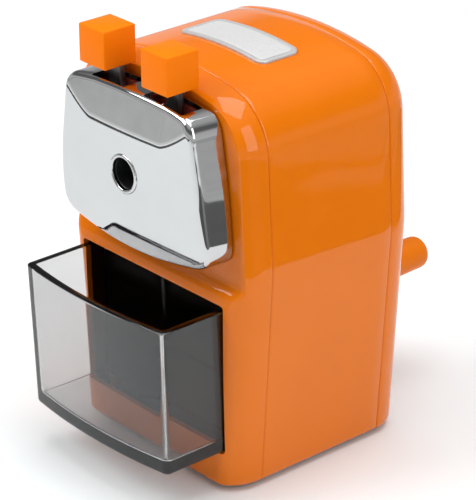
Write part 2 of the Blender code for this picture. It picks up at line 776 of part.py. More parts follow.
def make_lever(side, sign):
    """Lever plate, stem, button, jaw and pin of one side (sign -1 is the left)."""
    outline = [(8.8, 113.0), (9.0, 108.5), (6.4, 106.0)]
    outline += [(6.0, 102.0), (5.3, 96.0), (5.3, 86.4), (9.0, 86.4), (9.4, 95.0)]
    outline += arc_points((PIVOT_X, PIVOT_HEIGHT), 4.2, -50, 40, 4)
    outline += [(14.2, 108.5), (16.2, 113.0)]
    lever = prism(f"{side}_lever", mirrored(outline, sign), LEVER_DEPTHS, "grey_plastic")
    stem_x = (sign * STEM_X - STEM_HALF_WIDTH, sign * STEM_X + STEM_HALF_WIDTH)
    join(lever, box(f"{side}_stem", stem_x, STEM_DEPTHS, STEM_HEIGHTS))
    spot = {"x": sign * PIVOT_X, "height": PIVOT_HEIGHT, "steps": 20}
    cut(lever, pin(f"cut_{side}_pivot", LEVER_PIN_RADIUS + GAP, (-5, 5), **spot))
    lever_pin = pin(f"{side}_lever_pin", LEVER_PIN_RADIUS, (-5.0, 1.0), "steel", **spot)
    half = BUTTON_SIZE / 2
    xs = (sign * BUTTON_X - half, sign * BUTTON_X + half)
    depths = (BUTTON_DEPTH - half, BUTTON_DEPTH + half)
    button = box(f"{side}_button", xs, depths, (BUTTON_LOW, BUTTON_LOW + BUTTON_SIZE), "orange_satin")
    socket_x = (stem_x[0] - GAP, stem_x[1] + GAP)
    socket_depths = (STEM_DEPTHS[0] - GAP, STEM_DEPTHS[1] + GAP)
    socket_heights = (STEM_HEIGHTS[0] - 1, STEM_HEIGHTS[1] + GAP)
    cut(button, box(f"cut_{side}_socket", socket_x, socket_depths, socket_heights))
    jaw_outline = [(1.2, 87.0), (5.0, 86.6), (5.0, 94.2), (1.2, 93.8), (1.9, AXIS_HEIGHT)]
    jaw = prism(f"{side}_jaw", mirrored(jaw_outline, sign), LEVER_DEPTHS, "steel")
    return lever, lever_pin, button, jaw


def make_jaw_spring():
    """The coil that pushes the two levers' upper arms apart."""
    start, end = place(-JAW_SPRING_HALF, *JAW_SPRING_SPOT), place(JAW_SPRING_HALF, *JAW_SPRING_SPOT)
    return coil("jaw_spring", start, end, 1.2, 0.3, 6, "steel")


# ---------------------------------------------------------------- cutter drive


def gear_outline(teeth, tip_radius, root_radius, tip_half, root_half, first):
    """(x, y) outline of a gear whose first tooth points to the angle `first`."""
    points = []
    for tooth in range(teeth):
        angle = first + 2 * math.pi * tooth / teeth
        for radius, half, turn in (
            (root_radius, root_half, -1),
            (tip_radius, tip_half, -1),
            (tip_radius, tip_half, 1),
            (root_radius, root_half, 1),
        ):
            spot = angle + turn * math.asin(half / radius)
            points.append((radius * math.cos(spot), radius * math.sin(spot)))
    return points


def make_ring_gear():
    """Fixed internal gear, with a gap straight above the crank axis."""
    ring = sleeve("ring_gear", HOUSING_RADIUS, RING_PITCH_RADIUS - 2.0, (11.3, 15.8), "steel", steps=48)
    tip, root = RING_PITCH_RADIUS + 1.1, RING_PITCH_RADIUS - 0.7
    space = gear_outline(RING_TEETH, tip, root, 0.86, 1.0, math.pi / 2)
    outline = [(x, AXIS_HEIGHT + h) for x, h in space]
    cut(ring, prism("cut_ring_teeth", outline, (5, 25)))


def make_bearings():
    """The two discs that the carrier turns in, and the bushing in the rear wall."""
    sleeve("front_bearing", HOUSING_RADIUS, HUB_RADIUS + GAP, (5.1, 11.0), "grey_plastic", steps=48)
    sleeve("rear_bearing", HOUSING_RADIUS, REAR_HUB_RADIUS + GAP, (50.4, 53.0), "grey_plastic", steps=48)
    bore = SHAFT_RADIUS + GAP
    profile = [(bore, 61.0), (5.5, 61.0), (5.5, 66.9), (8.2, 66.9), (7.8, 68.4), (bore, 68.4)]
    turned("shaft_bushing", profile, "black_plastic")


def make_cutter_housing():
    """The drum round the cutter, open below so that shavings fall into the chute."""
    housing = sleeve("cutter_housing", HOUSING_RADIUS, HOUSING_BORE, (16.1, 50.1), "grey_plastic", steps=48)
    cut(housing, box("cut_housing_window", (-10.5, 10.5), (22, 45), (60, 84)))


def tilted(thing):
    """Sets a cutter part on the planet axis: local +Z runs back and towards the crank axis."""
    thing.rotation_euler = (-(math.pi / 2 + CUTTER_TILT), 0, 0)
    thing.location = place(0, PINION_DEPTH, AXIS_HEIGHT + PLANET_OFFSET)
    return thing


def local_pin(name, radius, span, finish=None, steps=20):
    """A round pin whose profile is in the planet's own frame."""
    low, high = span
    return tilted(turned(name, [(0, low), (radius, low), (radius, high), (0, high)], finish, steps=steps))


def local_loft(name, rings, finish):
    scaled = [[Vector(point) * MM for point in ring] for ring in rings]
    return tilted(loft(name, scaled, finish, smooth=False))


def make_cutter():
    """Helical cutter, its pinion and the axle that joins them."""
    tip, root = PINION_PITCH_RADIUS + 0.55, PINION_PITCH_RADIUS - 1.1
    outline = gear_outline(PINION_TEETH, tip, root, 0.33, 0.6, -math.pi / 2)
    bore = AXLE_RADIUS + 0.2
    rings = [[(x, y, z) for x, y in outline] for z in (-1.4, 1.4)]
    pinion = local_loft("cutter_pinion", rings, "steel")
    cut(pinion, local_pin("cut_pinion_bore", bore, (-9, 9)))
    levels = 14
    rings = []
    for level in range(levels + 1):
        twist = CUTTER_TWIST * level / levels
        z = CUTTER_START + CUTTER_LENGTH * level / levels
        ring = []
        for i in range(2 * CUTTER_FLUTES):
            radius = CUTTER_RADIUS if i % 2 == 0 else CUTTER_RADIUS - 1.0
            angle = twist + math.pi * i / CUTTER_FLUTES
            ring.append((radius * math.cos(angle), radius * math.sin(angle), z))
        rings.append(ring)
    cutter = local_loft("helical_cutter", rings, "tool_steel")
    cut(cutter, local_pin("cut_cutter_bore", bore, (0, 40)))
    return cutter, pinion, local_pin("cutter_axle", AXLE_RADIUS, (-2.2, 31.0), "steel")


def make_carrier():
    """The cage that the crank turns, which carries the cutter round the pencil."""
    carrier = sleeve("cutter_carrier", CARRIER_RADIUS, HUB_BORE, (16.0, 17.9), "steel", steps=40)
    join(carrier, sleeve("carrier_hub", HUB_RADIUS, HUB_BORE, (6.0, 17.0), steps=28))
    for number, degrees in enumerate(CARRIER_BAR_ANGLES, start=1):
        x = CARRIER_BAR_CIRCLE * math.cos(math.radians(degrees))
        height = AXIS_HEIGHT + CARRIER_BAR_CIRCLE * math.sin(math.radians(degrees))
        join(carrier, pin(f"carrier_bar_{number}", 1.7, (17.0, 43.0), x=x, height=height, steps=16))
    rear = [(0, 42.4), (CARRIER_RADIUS, 42.4), (CARRIER_RADIUS, 45.2)]
    rear += [(REAR_HUB_RADIUS, 45.2), (REAR_HUB_RADIUS, 53.6), (0, 53.6)]
    join(carrier, turned("carrier_rear", rear, steps=40))
    return cut(carrier, local_pin("cut_axle_holes", AXLE_RADIUS + 0.3, (1.5, 31.6)))


# ---------------------------------------------------------------- crank


def make_crank():
    """Shaft, arm, the screw that holds the arm on, and the pin the knob turns on."""
    shaft = pin("crank_shaft", SHAFT_RADIUS, (53.9, 69.6), "steel")
    reach = math.hypot(CRANK_X, CRANK_DROP)
    side = Vector((CRANK_DROP, CRANK_X)) / reach
    hub, end = Vector((0.0, AXIS_HEIGHT)), Vector((CRANK_X, AXIS_HEIGHT - CRANK_DROP))
    facing = math.degrees(math.atan2(side[1], side[0]))
    outline = [tuple(p) for p in arc_points(hub, 7.0, facing, facing + 180, 10)]
    outline += [tuple(p) for p in arc_points(end, 5.4, facing + 180, facing + 360, 10)]
    arm = prism("crank_arm", outline, ARM_DEPTHS, "steel")
    cut(arm, pin("cut_arm_hub", 2.3, (65, 80), steps=20))
    cut(arm, pin("cut_arm_end", KNOB_BORE, (65, 80), x=end[0], height=end[1], steps=20))
    screw = [(0, 69.9), (2.0, 69.9), (2.0, 72.9), (4.2, 72.9), (4.2, 74.2), (3.2, 75.2), (0, 75.2)]
    crank_screw = turned("crank_screw", screw, "steel", steps=28)
    head = [(0, 69.2), (3.2, 69.2), (3.2, 69.7), (KNOB_PIN_RADIUS, 69.7)]
    head += [(KNOB_PIN_RADIUS, KNOB_PIN_END), (0, KNOB_PIN_END)]
    knob_pin = turned("knob_pin", head, "steel", end[0], end[1], steps=20)
    return shaft, arm, crank_screw, knob_pin


def make_knob():
    """Tapered handle, closed at the outer end, that turns on the knob pin."""
    flat, start = KNOB_TIP_RADIUS - KNOB_TIP_ROUND, KNOB_END - KNOB_TIP_ROUND
    profile = [(KNOB_BORE, KNOB_START), (KNOB_ROOT_RADIUS - KNOB_EDGE, KNOB_START)]
    profile += [(KNOB_ROOT_RADIUS, KNOB_START + KNOB_EDGE), (KNOB_TIP_RADIUS + 0.1, start)]
    for step in (30, 60, 90):
        angle = math.radians(step)
        radius = flat + KNOB_TIP_ROUND * math.cos(angle)
        profile.append((radius, start + KNOB_TIP_ROUND * math.sin(angle)))
    bore_end = KNOB_PIN_END + 0.6
    profile += [(0, KNOB_END), (0, bore_end), (KNOB_BORE, bore_end)]
    end = (CRANK_X, AXIS_HEIGHT - CRANK_DROP)
    return turned("crank_knob", profile, "orange_satin", end[0], end[1], steps=28)


# ---------------------------------------------------------------- assembly


def mount_on_axis(name, spot, pieces):
    """Parents the pieces to an empty that stands on their joint's axis."""
    axis = bpy.data.objects.new(name, None)
    axis.location = spot
    PARTS.objects.link(axis)
    undo = Matrix.Translation(spot).inverted()
    for piece in pieces:
        piece.parent = axis
        piece.matrix_parent_inverse = undo


def build():
    make_front_panel()
    make_middle_shell()
    make_rear_panel()
    make_base()
    make_bay_liner()
    make_deck()
    make_top_label()
    make_rod_bushings()
    make_ring_gear()
    make_bearings()
    make_cutter_housing()

    mount_on_axis("drawer_track", place(0, 0, DRAWER_LOW), [make_drawer()])
    carriage = [make_face_plate(), make_carriage_plate(), make_pencil_tube(), make_jaw_spring()]
    carriage += make_guide_rods()
    for side, sign in (("left", -1), ("right", 1)):
        lever, lever_pin, button, jaw = make_lever(side, sign)
        carriage.append(lever_pin)
        pivot = place(sign * PIVOT_X, 0, PIVOT_HEIGHT)
        mount_on_axis(f"{side}_lever_axis", pivot, [lever, button, jaw])
    mount_on_axis("carriage_track", place(0, 0, ROD_HEIGHT), carriage)
    mount_on_axis("crank_axis", place(0, 0, AXIS_HEIGHT), [make_carrier(), *make_crank()])
    planet = place(0, PINION_DEPTH, AXIS_HEIGHT + PLANET_OFFSET)
    mount_on_axis("cutter_axis", planet, make_cutter())
    mount_on_axis("knob_axis", place(CRANK_X, 0, AXIS_HEIGHT - CRANK_DROP), [make_knob()])


build()
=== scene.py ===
"""Looks of a crank pencil sharpener: a glossy orange casing, a sprung chrome cover,
squeeze buttons, a smoked drawer half open, and a crank at the back.

Sizes are millimetres in casing coordinates: x sideways from the symmetry plane,
depth behind the casing's front face, and height above its lower edge.
"""
import math

import bmesh
import bpy
from mathutils import Matrix, Vector


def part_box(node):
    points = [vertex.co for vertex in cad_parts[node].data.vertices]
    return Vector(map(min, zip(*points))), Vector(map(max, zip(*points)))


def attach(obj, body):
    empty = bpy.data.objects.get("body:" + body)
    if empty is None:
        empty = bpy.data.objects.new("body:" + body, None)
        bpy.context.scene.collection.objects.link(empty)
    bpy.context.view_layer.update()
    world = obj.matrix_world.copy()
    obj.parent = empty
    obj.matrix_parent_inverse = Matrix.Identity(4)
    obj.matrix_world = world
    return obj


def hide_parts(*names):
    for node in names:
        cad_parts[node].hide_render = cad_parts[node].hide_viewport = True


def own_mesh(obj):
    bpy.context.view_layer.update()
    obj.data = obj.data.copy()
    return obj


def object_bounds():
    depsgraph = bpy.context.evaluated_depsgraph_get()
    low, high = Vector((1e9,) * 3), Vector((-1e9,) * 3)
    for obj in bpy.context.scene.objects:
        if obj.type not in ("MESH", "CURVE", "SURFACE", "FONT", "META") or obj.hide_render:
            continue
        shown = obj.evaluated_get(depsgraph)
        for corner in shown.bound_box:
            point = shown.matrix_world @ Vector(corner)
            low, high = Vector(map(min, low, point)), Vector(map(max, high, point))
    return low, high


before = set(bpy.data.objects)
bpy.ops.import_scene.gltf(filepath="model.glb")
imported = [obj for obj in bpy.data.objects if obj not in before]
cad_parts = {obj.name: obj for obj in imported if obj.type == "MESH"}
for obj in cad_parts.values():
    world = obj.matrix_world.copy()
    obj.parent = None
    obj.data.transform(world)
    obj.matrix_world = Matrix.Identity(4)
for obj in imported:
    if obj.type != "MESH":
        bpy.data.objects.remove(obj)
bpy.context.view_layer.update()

MM = 0.001
PANEL_LOW, PANEL_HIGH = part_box("front_panel")
CASING_ORIGIN = Vector(((PANEL_LOW.x + PANEL_HIGH.x) / 2, PANEL_LOW.y, PANEL_LOW.z))
SCENE = bpy.context.scene


def place(x, depth, height):
    """World position, in metres, of a point in casing coordinates."""
    return CASING_ORIGIN + Vector((x, depth, height)) * MM


# ---------------------------------------------------------------- node helpers

NOISE_ROUGHNESS = 0.55


def new_material(name):
    """A material, its node tree and its main shader."""
    material = bpy.data.materials.new(name)
    material.use_nodes = True
    tree = material.node_tree
    return material, tree, tree.nodes["Principled BSDF"]


def add_node(tree, kind, **settings):
    """A node whose inputs, or else properties, take the settings of their name."""
    node = tree.nodes.new(kind)
    for key, value in settings.items():
        if key in node.inputs.keys():
            node.inputs[key].default_value = value
        else:
            setattr(node, key, value)
    return node


def object_coordinates(tree, scale=(1.0, 1.0, 1.0)):
    """Object-space coordinates in metres, stretched by scale."""
    source = add_node(tree, "ShaderNodeTexCoord")
    mapping = add_node(tree, "ShaderNodeMapping")
    mapping.inputs["Scale"].default_value = scale
    tree.links.new(source.outputs["Object"], mapping.inputs["Vector"])
    return mapping.outputs["Vector"]


def noise(tree, vector, scale, detail=3.0, distortion=0.0):
    """Noise from 0 to 1, with its scale in features to the metre."""
    node = add_node(tree, "ShaderNodeTexNoise", Scale=scale, Detail=detail)
    node.inputs["Roughness"].default_value = NOISE_ROUGHNESS
    node.inputs["Distortion"].default_value = distortion
    tree.links.new(vector, node.inputs["Vector"])
    return node.outputs["Fac"]


def ramp(tree, fac, stops):
    """A colour ramp of (position, colour) stops, where a colour may be one number."""
    node = add_node(tree, "ShaderNodeValToRGB")
    elements = node.color_ramp.elements
    while len(elements) < len(stops):
        elements.new(0.5)
    for element, (position, colour) in zip(elements, stops):
        element.position = position
        if isinstance(colour, (int, float)):
            colour = (colour, colour, colour)
        element.color = (*colour, 1.0)
    tree.links.new(fac, node.inputs["Fac"])
    return node.outputs["Color"]


def feed(tree, fac, stops, socket):
    """Links a colour ramp over a noise to one of the shader's inputs."""
    tree.links.new(ramp(tree, fac, stops), socket)


def bump(tree, shader, height, strength, distance, before=None):
    """Bumps the shader's surface, on top of an earlier bump if there is one."""
    node = add_node(tree, "ShaderNodeBump", Strength=strength, Distance=distance)
    tree.links.new(height, node.inputs["Height"])
    if before:
        tree.links.new(before, node.inputs["Normal"])
    tree.links.new(node.outputs["Normal"], shader.inputs["Normal"])
    return node.outputs["Normal"]


# ---------------------------------------------------------------- materials


def shade(colour, factor):
    """A colour made brighter or darker by a factor."""
    return tuple(channel * factor for channel in colour)


def moulded_plastic(name, colour, roughness, spread, grain, level):
    """Moulded plastic: slight colour drift, uneven gloss, and a fine moulded surface."""
    material, tree, shader = new_material(name)
    vector = object_coordinates(tree)
    drift = noise(tree, vector, 45.0)
    tints = [(0.3, shade(colour, 1 - spread)), (0.7, shade(colour, 1 + spread))]
    feed(tree, drift, tints, shader.inputs["Base Color"])
    smudge = noise(tree, vector, 120.0, detail=5.0, distortion=0.6)
    gloss = [(0.3, roughness * 0.85), (0.75, roughness * 1.25)]
    feed(tree, smudge, gloss, shader.inputs["Roughness"])
    shader.inputs["Specular IOR Level"].default_value = level
    ripple = noise(tree, vector, 260.0, detail=1.5)
    first = bump(tree, shader, ripple, 0.05, 0.0004)
    if grain:
        fine = noise(tree, vector, 2600.0, detail=2.0)
        bump(tree, shader, fine, grain, 0.00012, first)
    return material


STREAKS = 0.12


def brushed_metal(name, colour, roughness, stretch):
    """Metal with fine lines along one axis and a little uneven polish."""
    material, tree, shader = new_material(name)
    shader.inputs["Metallic"].default_value = 1.0
    vector = object_coordinates(tree, stretch)
    lines = noise(tree, vector, 900.0, detail=4.0)
    tints = [(0.3, shade(colour, 1 - STREAKS)), (0.7, shade(colour, 1 + STREAKS / 2))]
    feed(tree, lines, tints, shader.inputs["Base Color"])
    polish = [(0.3, roughness * 0.75), (0.7, roughness * 1.3)]
    feed(tree, lines, polish, shader.inputs["Roughness"])
    bump(tree, shader, lines, 0.10, 0.00006)
    return material


def chrome_plate(name):
    """Mirror plating with faint smudges and a barely uneven pressed surface."""
    material, tree, shader = new_material(name)
    shader.inputs["Metallic"].default_value = 1.0
    vector = object_coordinates(tree)
    cloud = noise(tree, vector, 60.0, detail=4.0, distortion=0.8)
    tints = [(0.3, (0.55, 0.555, 0.56)), (0.7, (0.58, 0.58, 0.58))]
    feed(tree, cloud, tints, shader.inputs["Base Color"])
    smudge = noise(tree, vector, 220.0, detail=6.0, distortion=1.2)
    feed(tree, smudge, [(0.35, 0.035), (0.8, 0.075)], shader.inputs["Roughness"])
    swell = noise(tree, vector, 35.0, detail=1.0)
    bump(tree, shader, swell, 0.04, 0.0008)
    return material


SMOKE_DENSITY = 114.0
SMOKE_COLOUR = (0.17, 0.175, 0.18, 1.0)
ACRYLIC_IOR = 1.49


def smoked_clear(name):
    """Clear smoked plastic that darkens where the path through it is long."""
    material, tree, shader = new_material(name)
    shader.inputs["Base Color"].default_value = (0.93, 0.92, 0.92, 1.0)
    shader.inputs["Transmission Weight"].default_value = 1.0
    shader.inputs["IOR"].default_value = ACRYLIC_IOR
    vector = object_coordinates(tree)
    film = noise(tree, vector, 150.0, detail=5.0, distortion=0.8)
    feed(tree, film, [(0.35, 0.015), (0.8, 0.05)], shader.inputs["Roughness"])
    swell = noise(tree, vector, 55.0, detail=1.0)
    bump(tree, shader, swell, 0.03, 0.0006)
    absorb = add_node(tree, "ShaderNodeVolumeAbsorption", Density=SMOKE_DENSITY)
    absorb.inputs["Color"].default_value = SMOKE_COLOUR
    tree.links.new(absorb.outputs["Volume"], tree.nodes["Material Output"].inputs["Volume"])
    return material


def rubber(name):
    """Matt black rubber with a coarse, speckled skin."""
    material, tree, shader = new_material(name)
    vector = object_coordinates(tree)
    speckle = noise(tree, vector, 900.0, detail=4.0)
    feed(tree, speckle, [(0.3, 0.012), (0.75, 0.035)], shader.inputs["Base Color"])
    feed(tree, speckle, [(0.3, 0.7), (0.7, 0.9)], shader.inputs["Roughness"])
    bump(tree, shader, noise(tree, vector, 1500.0), 0.35, 0.0002)
    return material


def foil_label(name, metallic, low, high):
    """Satin silver foil with a fine brushed grain."""
    material, tree, shader = new_material(name)
    shader.inputs["Metallic"].default_value = metallic
    vector = object_coordinates(tree, (1.0, 9.0, 1.0))
    lines = noise(tree, vector, 700.0, detail=4.0)
    feed(tree, lines, [(0.3, low), (0.7, high)], shader.inputs["Base Color"])
    feed(tree, lines, [(0.3, 0.26), (0.7, 0.4)], shader.inputs["Roughness"])
    bump(tree, shader, lines, 0.05, 0.00005)
    return material


# Plastics: colour, roughness, drift of the colour, grain, specular level.
PLASTICS = {
    "orange_gloss": ((0.765, 0.172, 0.0012), 0.055, 0.02, 0.0, 0.33),
    # Dark brown inner faces: painted shade on the orange wall behind the drawer's opening.
    "painted_shade_inside": ((0.11, 0.022, 0.006), 0.5, 0.1, 0.15, 0.2),
    "orange_satin": ((0.92, 0.195, 0.002), 0.40, 0.03, 0.12, 0.06),
    "knob_satin": ((0.74, 0.175, 0.004), 0.36, 0.03, 0.12, 0.12),
    "black_plastic": ((0.012, 0.012, 0.013), 0.42, 0.25, 0.15, 0.5),
    "bay_plastic": ((0.034, 0.012, 0.009), 0.42, 0.15, 0.15, 0.5),
    # Dark red-brown that paints the deep shade on the carriage plate, seen through the slots.
    "brown_plastic": ((0.34, 0.07, 0.05), 0.42, 0.15, 0.12, 0.2),
    "grey_plastic": ((0.11, 0.11, 0.12), 0.42, 0.10, 0.12, 0.5),
}
# Metals: colour, roughness, and how the noise is stretched into lines.
METALS = {
    "steel": ((0.56, 0.56, 0.57), 0.28, (1.0, 12.0, 1.0)),
    "steel_dark": ((0.30, 0.30, 0.32), 0.30, (1.0, 10.0, 1.0)),
    "lever_metal": ((0.22, 0.23, 0.24), 0.40, (1.0, 1.0, 0.12)),
    "bronze": ((0.55, 0.36, 0.16), 0.34, (1.0, 8.0, 1.0)),
}
MATERIALS = {
    "chrome": chrome_plate("chrome"),
    "smoke": smoked_clear("smoke"),
    "rubber": rubber("rubber"),
    "label": foil_label("label", 0.3, 0.52, 0.62),
    "label_panel": foil_label("label_panel", 0.2, 0.66, 0.74),
}
MATERIALS.update({name: moulded_plastic(name, *values) for name, values in PLASTICS.items()})
MATERIALS.update({name: brushed_metal(name, *values) for name, values in METALS.items()})

# The CAD nodes of each finish; a node that isn't listed is steel.
FINISHED_NODES = {
    "orange_gloss": ("front_panel", "middle_shell", "rear_panel"),
    "orange_satin": ("left_button", "right_button"),
    "knob_satin": ("crank_knob",),
    "chrome": ("face_plate", "crank_arm"),
    "steel_dark": ("helical_cutter",),
    "lever_metal": ("left_lever", "right_lever"),
    "black_plastic": ("base_plate", "deck_plate", "pencil_tube", "shaft_bushing"),
    "bay_plastic": ("bay_liner",),
    "brown_plastic": ("carriage_plate",),
    "grey_plastic": ("shavings_chute", "cutter_housing", "front_bearing", "rear_bearing"),
    "smoke": ("shavings_drawer",),
    "rubber": ("base_pad",),
    "label": ("top_label",),
    "bronze": ("left_rod_bushing", "right_rod_bushing"),
}


def paint_nodes():
    """Gives every CAD node its finish."""
    finishes = {node: finish for finish, nodes in FINISHED_NODES.items() for node in nodes}
    for name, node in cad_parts.items():
        node.data.materials.clear()
        node.data.materials.append(MATERIALS[finishes.get(name, "steel")])


# ---------------------------------------------------------------- mesh helpers

TURNED_STEPS = 72
LEAST_RADIUS = 0.001
SHELL_WELD, LABEL_WELD, TURNED_WELD = 0.000002, 0.000003, 0.000004


def skin(rings, closed=True, capped=False):
    """Vertices and faces of a surface over rings of equal length."""
    count = len(rings[0])
    verts = [tuple(point) for ring in rings for point in ring]
    faces = []
    for level in range(len(rings) - 1):
        low, high = level * count, (level + 1) * count
        for i in range(count if closed else count - 1):
            j = (i + 1) % count
            faces.append((low + i, low + j, high + j, high + i))
    if capped:
        faces += [tuple(range(count)), tuple(range(len(verts) - count, len(verts)))]
    return verts, faces


def mesh_piece(name, verts, faces, finish=None, weld=0.0):
    """A new object from vertices and faces, with its normals made to agree.

    Vertices that lie within the weld, in metres, are joined.
    """
    bm = bmesh.new()
    made = [bm.verts.new(vert) for vert in verts]
    for face in faces:
        bm.faces.new([made[i] for i in face])
    if weld:
        bmesh.ops.remove_doubles(bm, verts=bm.verts, dist=weld)
    bmesh.ops.recalc_face_normals(bm, faces=bm.faces)
    mesh = bpy.data.meshes.new(name)
    bm.to_mesh(mesh)
    bm.free()
    if finish:
        mesh.materials.append(MATERIALS[finish])
    piece = bpy.data.objects.new(name, mesh)
    SCENE.collection.objects.link(piece)
    return piece


def face_outwards(piece, centre):
    """Turns an open shell's faces away from a point inside it."""
    centre = Vector(centre)
    total = sum((poly.center - centre).dot(poly.normal) * poly.area for poly in piece.data.polygons)
    if total < 0:
        piece.data.flip_normals()


def settle(piece, sharp=35.0):
    """Applies the piece's modifiers and shades it smooth up to an angle in degrees."""
    graph = bpy.context.evaluated_depsgraph_get()
    mesh = bpy.data.meshes.new_from_object(piece.evaluated_get(graph))
    piece.modifiers.clear()
    piece.data = mesh
    mesh.shade_smooth()
    mesh.set_sharp_from_angle(angle=math.radians(sharp))
    return piece


def cut_away(piece, *cutters):
    """Cuts the cutters out of the piece, and removes them."""
    for cutter in cutters:
        change = piece.modifiers.new("cut", "BOOLEAN")
        change.operation = "DIFFERENCE"
        change.solver = "EXACT"
        change.object = cutter
    settle(piece)
    for cutter in cutters:
        bpy.data.objects.remove(cutter)
    return piece


def thicken(piece, thickness, inside=None):
    """Gives a sheet a wall, whose inner faces can have their own finish, such as a painted shade.
    """
    wall = piece.modifiers.new("wall", "SOLIDIFY")
    wall.thickness = thickness * MM
    wall.offset = -1.0
    if inside:
        piece.data.materials.append(MATERIALS[inside])
        wall.material_offset = 1
    return piece


def prism_block(name, outline, depths, finish=None):
    """An outline of (x, height) points carried from one depth to another."""
    rings = [[place(x, depth, height) for x, height in outline] for depth in depths]
    return mesh_piece(name, *skin(rings, capped=True), finish)


def circle(radius, centre, steps=64):
    """Points of a circle about a centre."""
    turns = [2 * math.pi * i / steps for i in range(steps)]
    return [(centre[0] + radius * math.cos(a), centre[1] + radius * math.sin(a)) for a in turns]


def turned(name, profile, finish, centre):
    """A closed (radius, depth) profile spun about an axis that runs front to back."""
    rings = []
    for radius, depth in profile:
        loop = circle(max(radius, LEAST_RADIUS), centre, TURNED_STEPS)
        rings.append([place(x, depth, height) for x, height in loop])
    rings.append(rings[0])
    return settle(mesh_piece(name, *skin(rings), finish, weld=TURNED_WELD))


def rounded(points, radii, steps=6):
    """A closed polygon whose corners are rounded by these radii."""
    result = []
    count = len(points)
    for i, radius in enumerate(radii):
        corner = Vector(points[i])
        before = (Vector(points[i - 1]) - corner).normalized()
        after = (Vector(points[(i + 1) % count]) - corner).normalized()
        if radius <= 0:
            result.append(tuple(corner))
            continue
        half = before.angle(after) / 2
        reach = radius / math.tan(half)
        centre = corner + (before + after).normalized() * radius / math.sin(half)
        start, end = corner + before * reach - centre, corner + after * reach - centre
        turn = math.atan2(start.x * end.y - start.y * end.x, start.dot(end))
        for step in range(steps + 1):
            angle = turn * step / steps
            c, s = math.cos(angle), math.sin(angle)
            x = centre.x + start.x * c - start.y * s
            y = centre.y + start.x * s + start.y * c
            result.append((x, y))
    return result


def span(start, end, step):
    """Evenly spaced numbers from start up to, but not with, end."""
    count = max(1, round((end - start) / step))
    return [start + (end - start) * i / count for i in range(count)]


def ease(value):
    """A smooth step from 0 to 1."""
    value = min(max(value, 0.0), 1.0)
    return value * value * (3 - 2 * value)


def soft_max(a, b, width):
    """The greater of two numbers, blended where they differ by less than the width."""
    near = max(width - abs(a - b), 0.0) / width
    return max(a, b) + near * near * width / 4


# ---------------------------------------------------------------- casing

BODY_DEPTH = 66.6
FOOT_HALF_WIDTH = 34.2
KINK_HALF_WIDTH = 39.1
KINK_HEIGHT = 67.0
KINK_BLEND = 3.0
SHOULDER_HALF_WIDTH = 37.4
SHOULDER_HEIGHT = 100.5
SHOULDER_RADIUS = 18.0
SHOULDER_LEAN = math.radians(2.9)
CROWN_SLOPE = math.radians(12.0)
FRONT_ROUND = (7.0, 11.3)
REAR_ROUND = 8.0
FRONT_SEAM = 11.3
REAR_SEAM = 56.3
WALL = 1.8
RECESS_DEPTH = 3.0
LEDGE = (59.0, 64.5)
RECESS_BLEND = 0.9
OPENING = [(30.5, 11.2), (31.0, 57.9), (-31.0, 57.9), (-30.5, 11.2)]
OPENING_RADII = [1.2, 1.0, 1.0, 1.2]
AXIS_HEIGHT = 90.4
AXIS_SPOT = (0, AXIS_HEIGHT)
ROD_X, ROD_HEIGHT = 24.0, 86.0
PENCIL_WAY_RADIUS = 6.75
ROD_WAY_RADIUS = 3.7
SHAFT_WAY_RADIUS = 5.8
FRONT_CUT, REAR_CUT = (-5, 9), (60, 70)
SEAM_LIP = ((0.03, 0.30), (0.12, 0.12), (0.30, 0.02))
SHELL_FLAT = (12.5, 56)
FOOT_ROUND = 2.0
FOOT_HEIGHTS = [0.0, 0.1, 0.3, 0.6, 1.0, 1.5]
KINK_SPAN = (54, 72)
SHOULDER_STEP, CROWN_STEP = math.radians(4), math.radians(1)
FRONT_ANGLES = (4, 10, 17, 24, 32, 40, 48, 56, 64, 72, 80, 86, 90)
REAR_ANGLES = (5, 14, 23, 32, 41, 50, 59, 68, 77, 84, 90)


def side_width(height):
    """Half width of the casing's side, and its slope, with a softened kink."""
    lower = (KINK_HALF_WIDTH - FOOT_HALF_WIDTH) / KINK_HEIGHT
    upper = (SHOULDER_HALF_WIDTH - KINK_HALF_WIDTH) / (SHOULDER_HEIGHT - KINK_HEIGHT)
    past = min(max(height - KINK_HEIGHT + KINK_BLEND, 0.0), 2 * KINK_BLEND)
    slope = lower + (upper - lower) * past / (2 * KINK_BLEND)
    turn = (upper - lower) * past * past / (4 * KINK_BLEND)
    beyond = max(height - KINK_HEIGHT - KINK_BLEND, 0.0)
    return FOOT_HALF_WIDTH + lower * height + turn + (upper - lower) * beyond, slope


def shoulder_point(angle):
    """Point of the rounded shoulder where the normal leans up by an angle, and the normal."""
    lean = Vector((math.cos(SHOULDER_LEAN), math.sin(SHOULDER_LEAN)))
    centre = Vector((SHOULDER_HALF_WIDTH, SHOULDER_HEIGHT)) - SHOULDER_RADIUS * lean
    normal = Vector((math.cos(angle), math.sin(angle)))
    return centre + SHOULDER_RADIUS * normal, normal


SHOULDER_END = math.pi / 2 - CROWN_SLOPE
CROWN_EDGE = shoulder_point(SHOULDER_END)[0]
CROWN_RADIUS = CROWN_EDGE.x / math.sin(CROWN_SLOPE)


def casing_half():
    """Right half of the casing's outline as (x, height, normal x, normal height)."""
    heights = FOOT_HEIGHTS + span(FOOT_ROUND, KINK_SPAN[0], 3) + span(*KINK_SPAN, 0.6)
    heights += span(KINK_SPAN[1], SHOULDER_HEIGHT, 3)
    points = []
    for height in heights:
        x, slope = side_width(height)
        size = math.hypot(1.0, slope)
        points.append((x, height, 1 / size, -slope / size))
    for angle in span(SHOULDER_LEAN, SHOULDER_END, SHOULDER_STEP) + [SHOULDER_END]:
        point, normal = shoulder_point(angle)
        points.append((*point, *normal))
    for slope in (span(CROWN_SLOPE, 0, -CROWN_STEP) + [0.0])[1:]:
        height = CROWN_EDGE.y + CROWN_RADIUS * (math.cos(slope) - math.cos(CROWN_SLOPE))
        points.append((CROWN_RADIUS * math.sin(slope), height, math.sin(slope), math.cos(slope)))
    return points


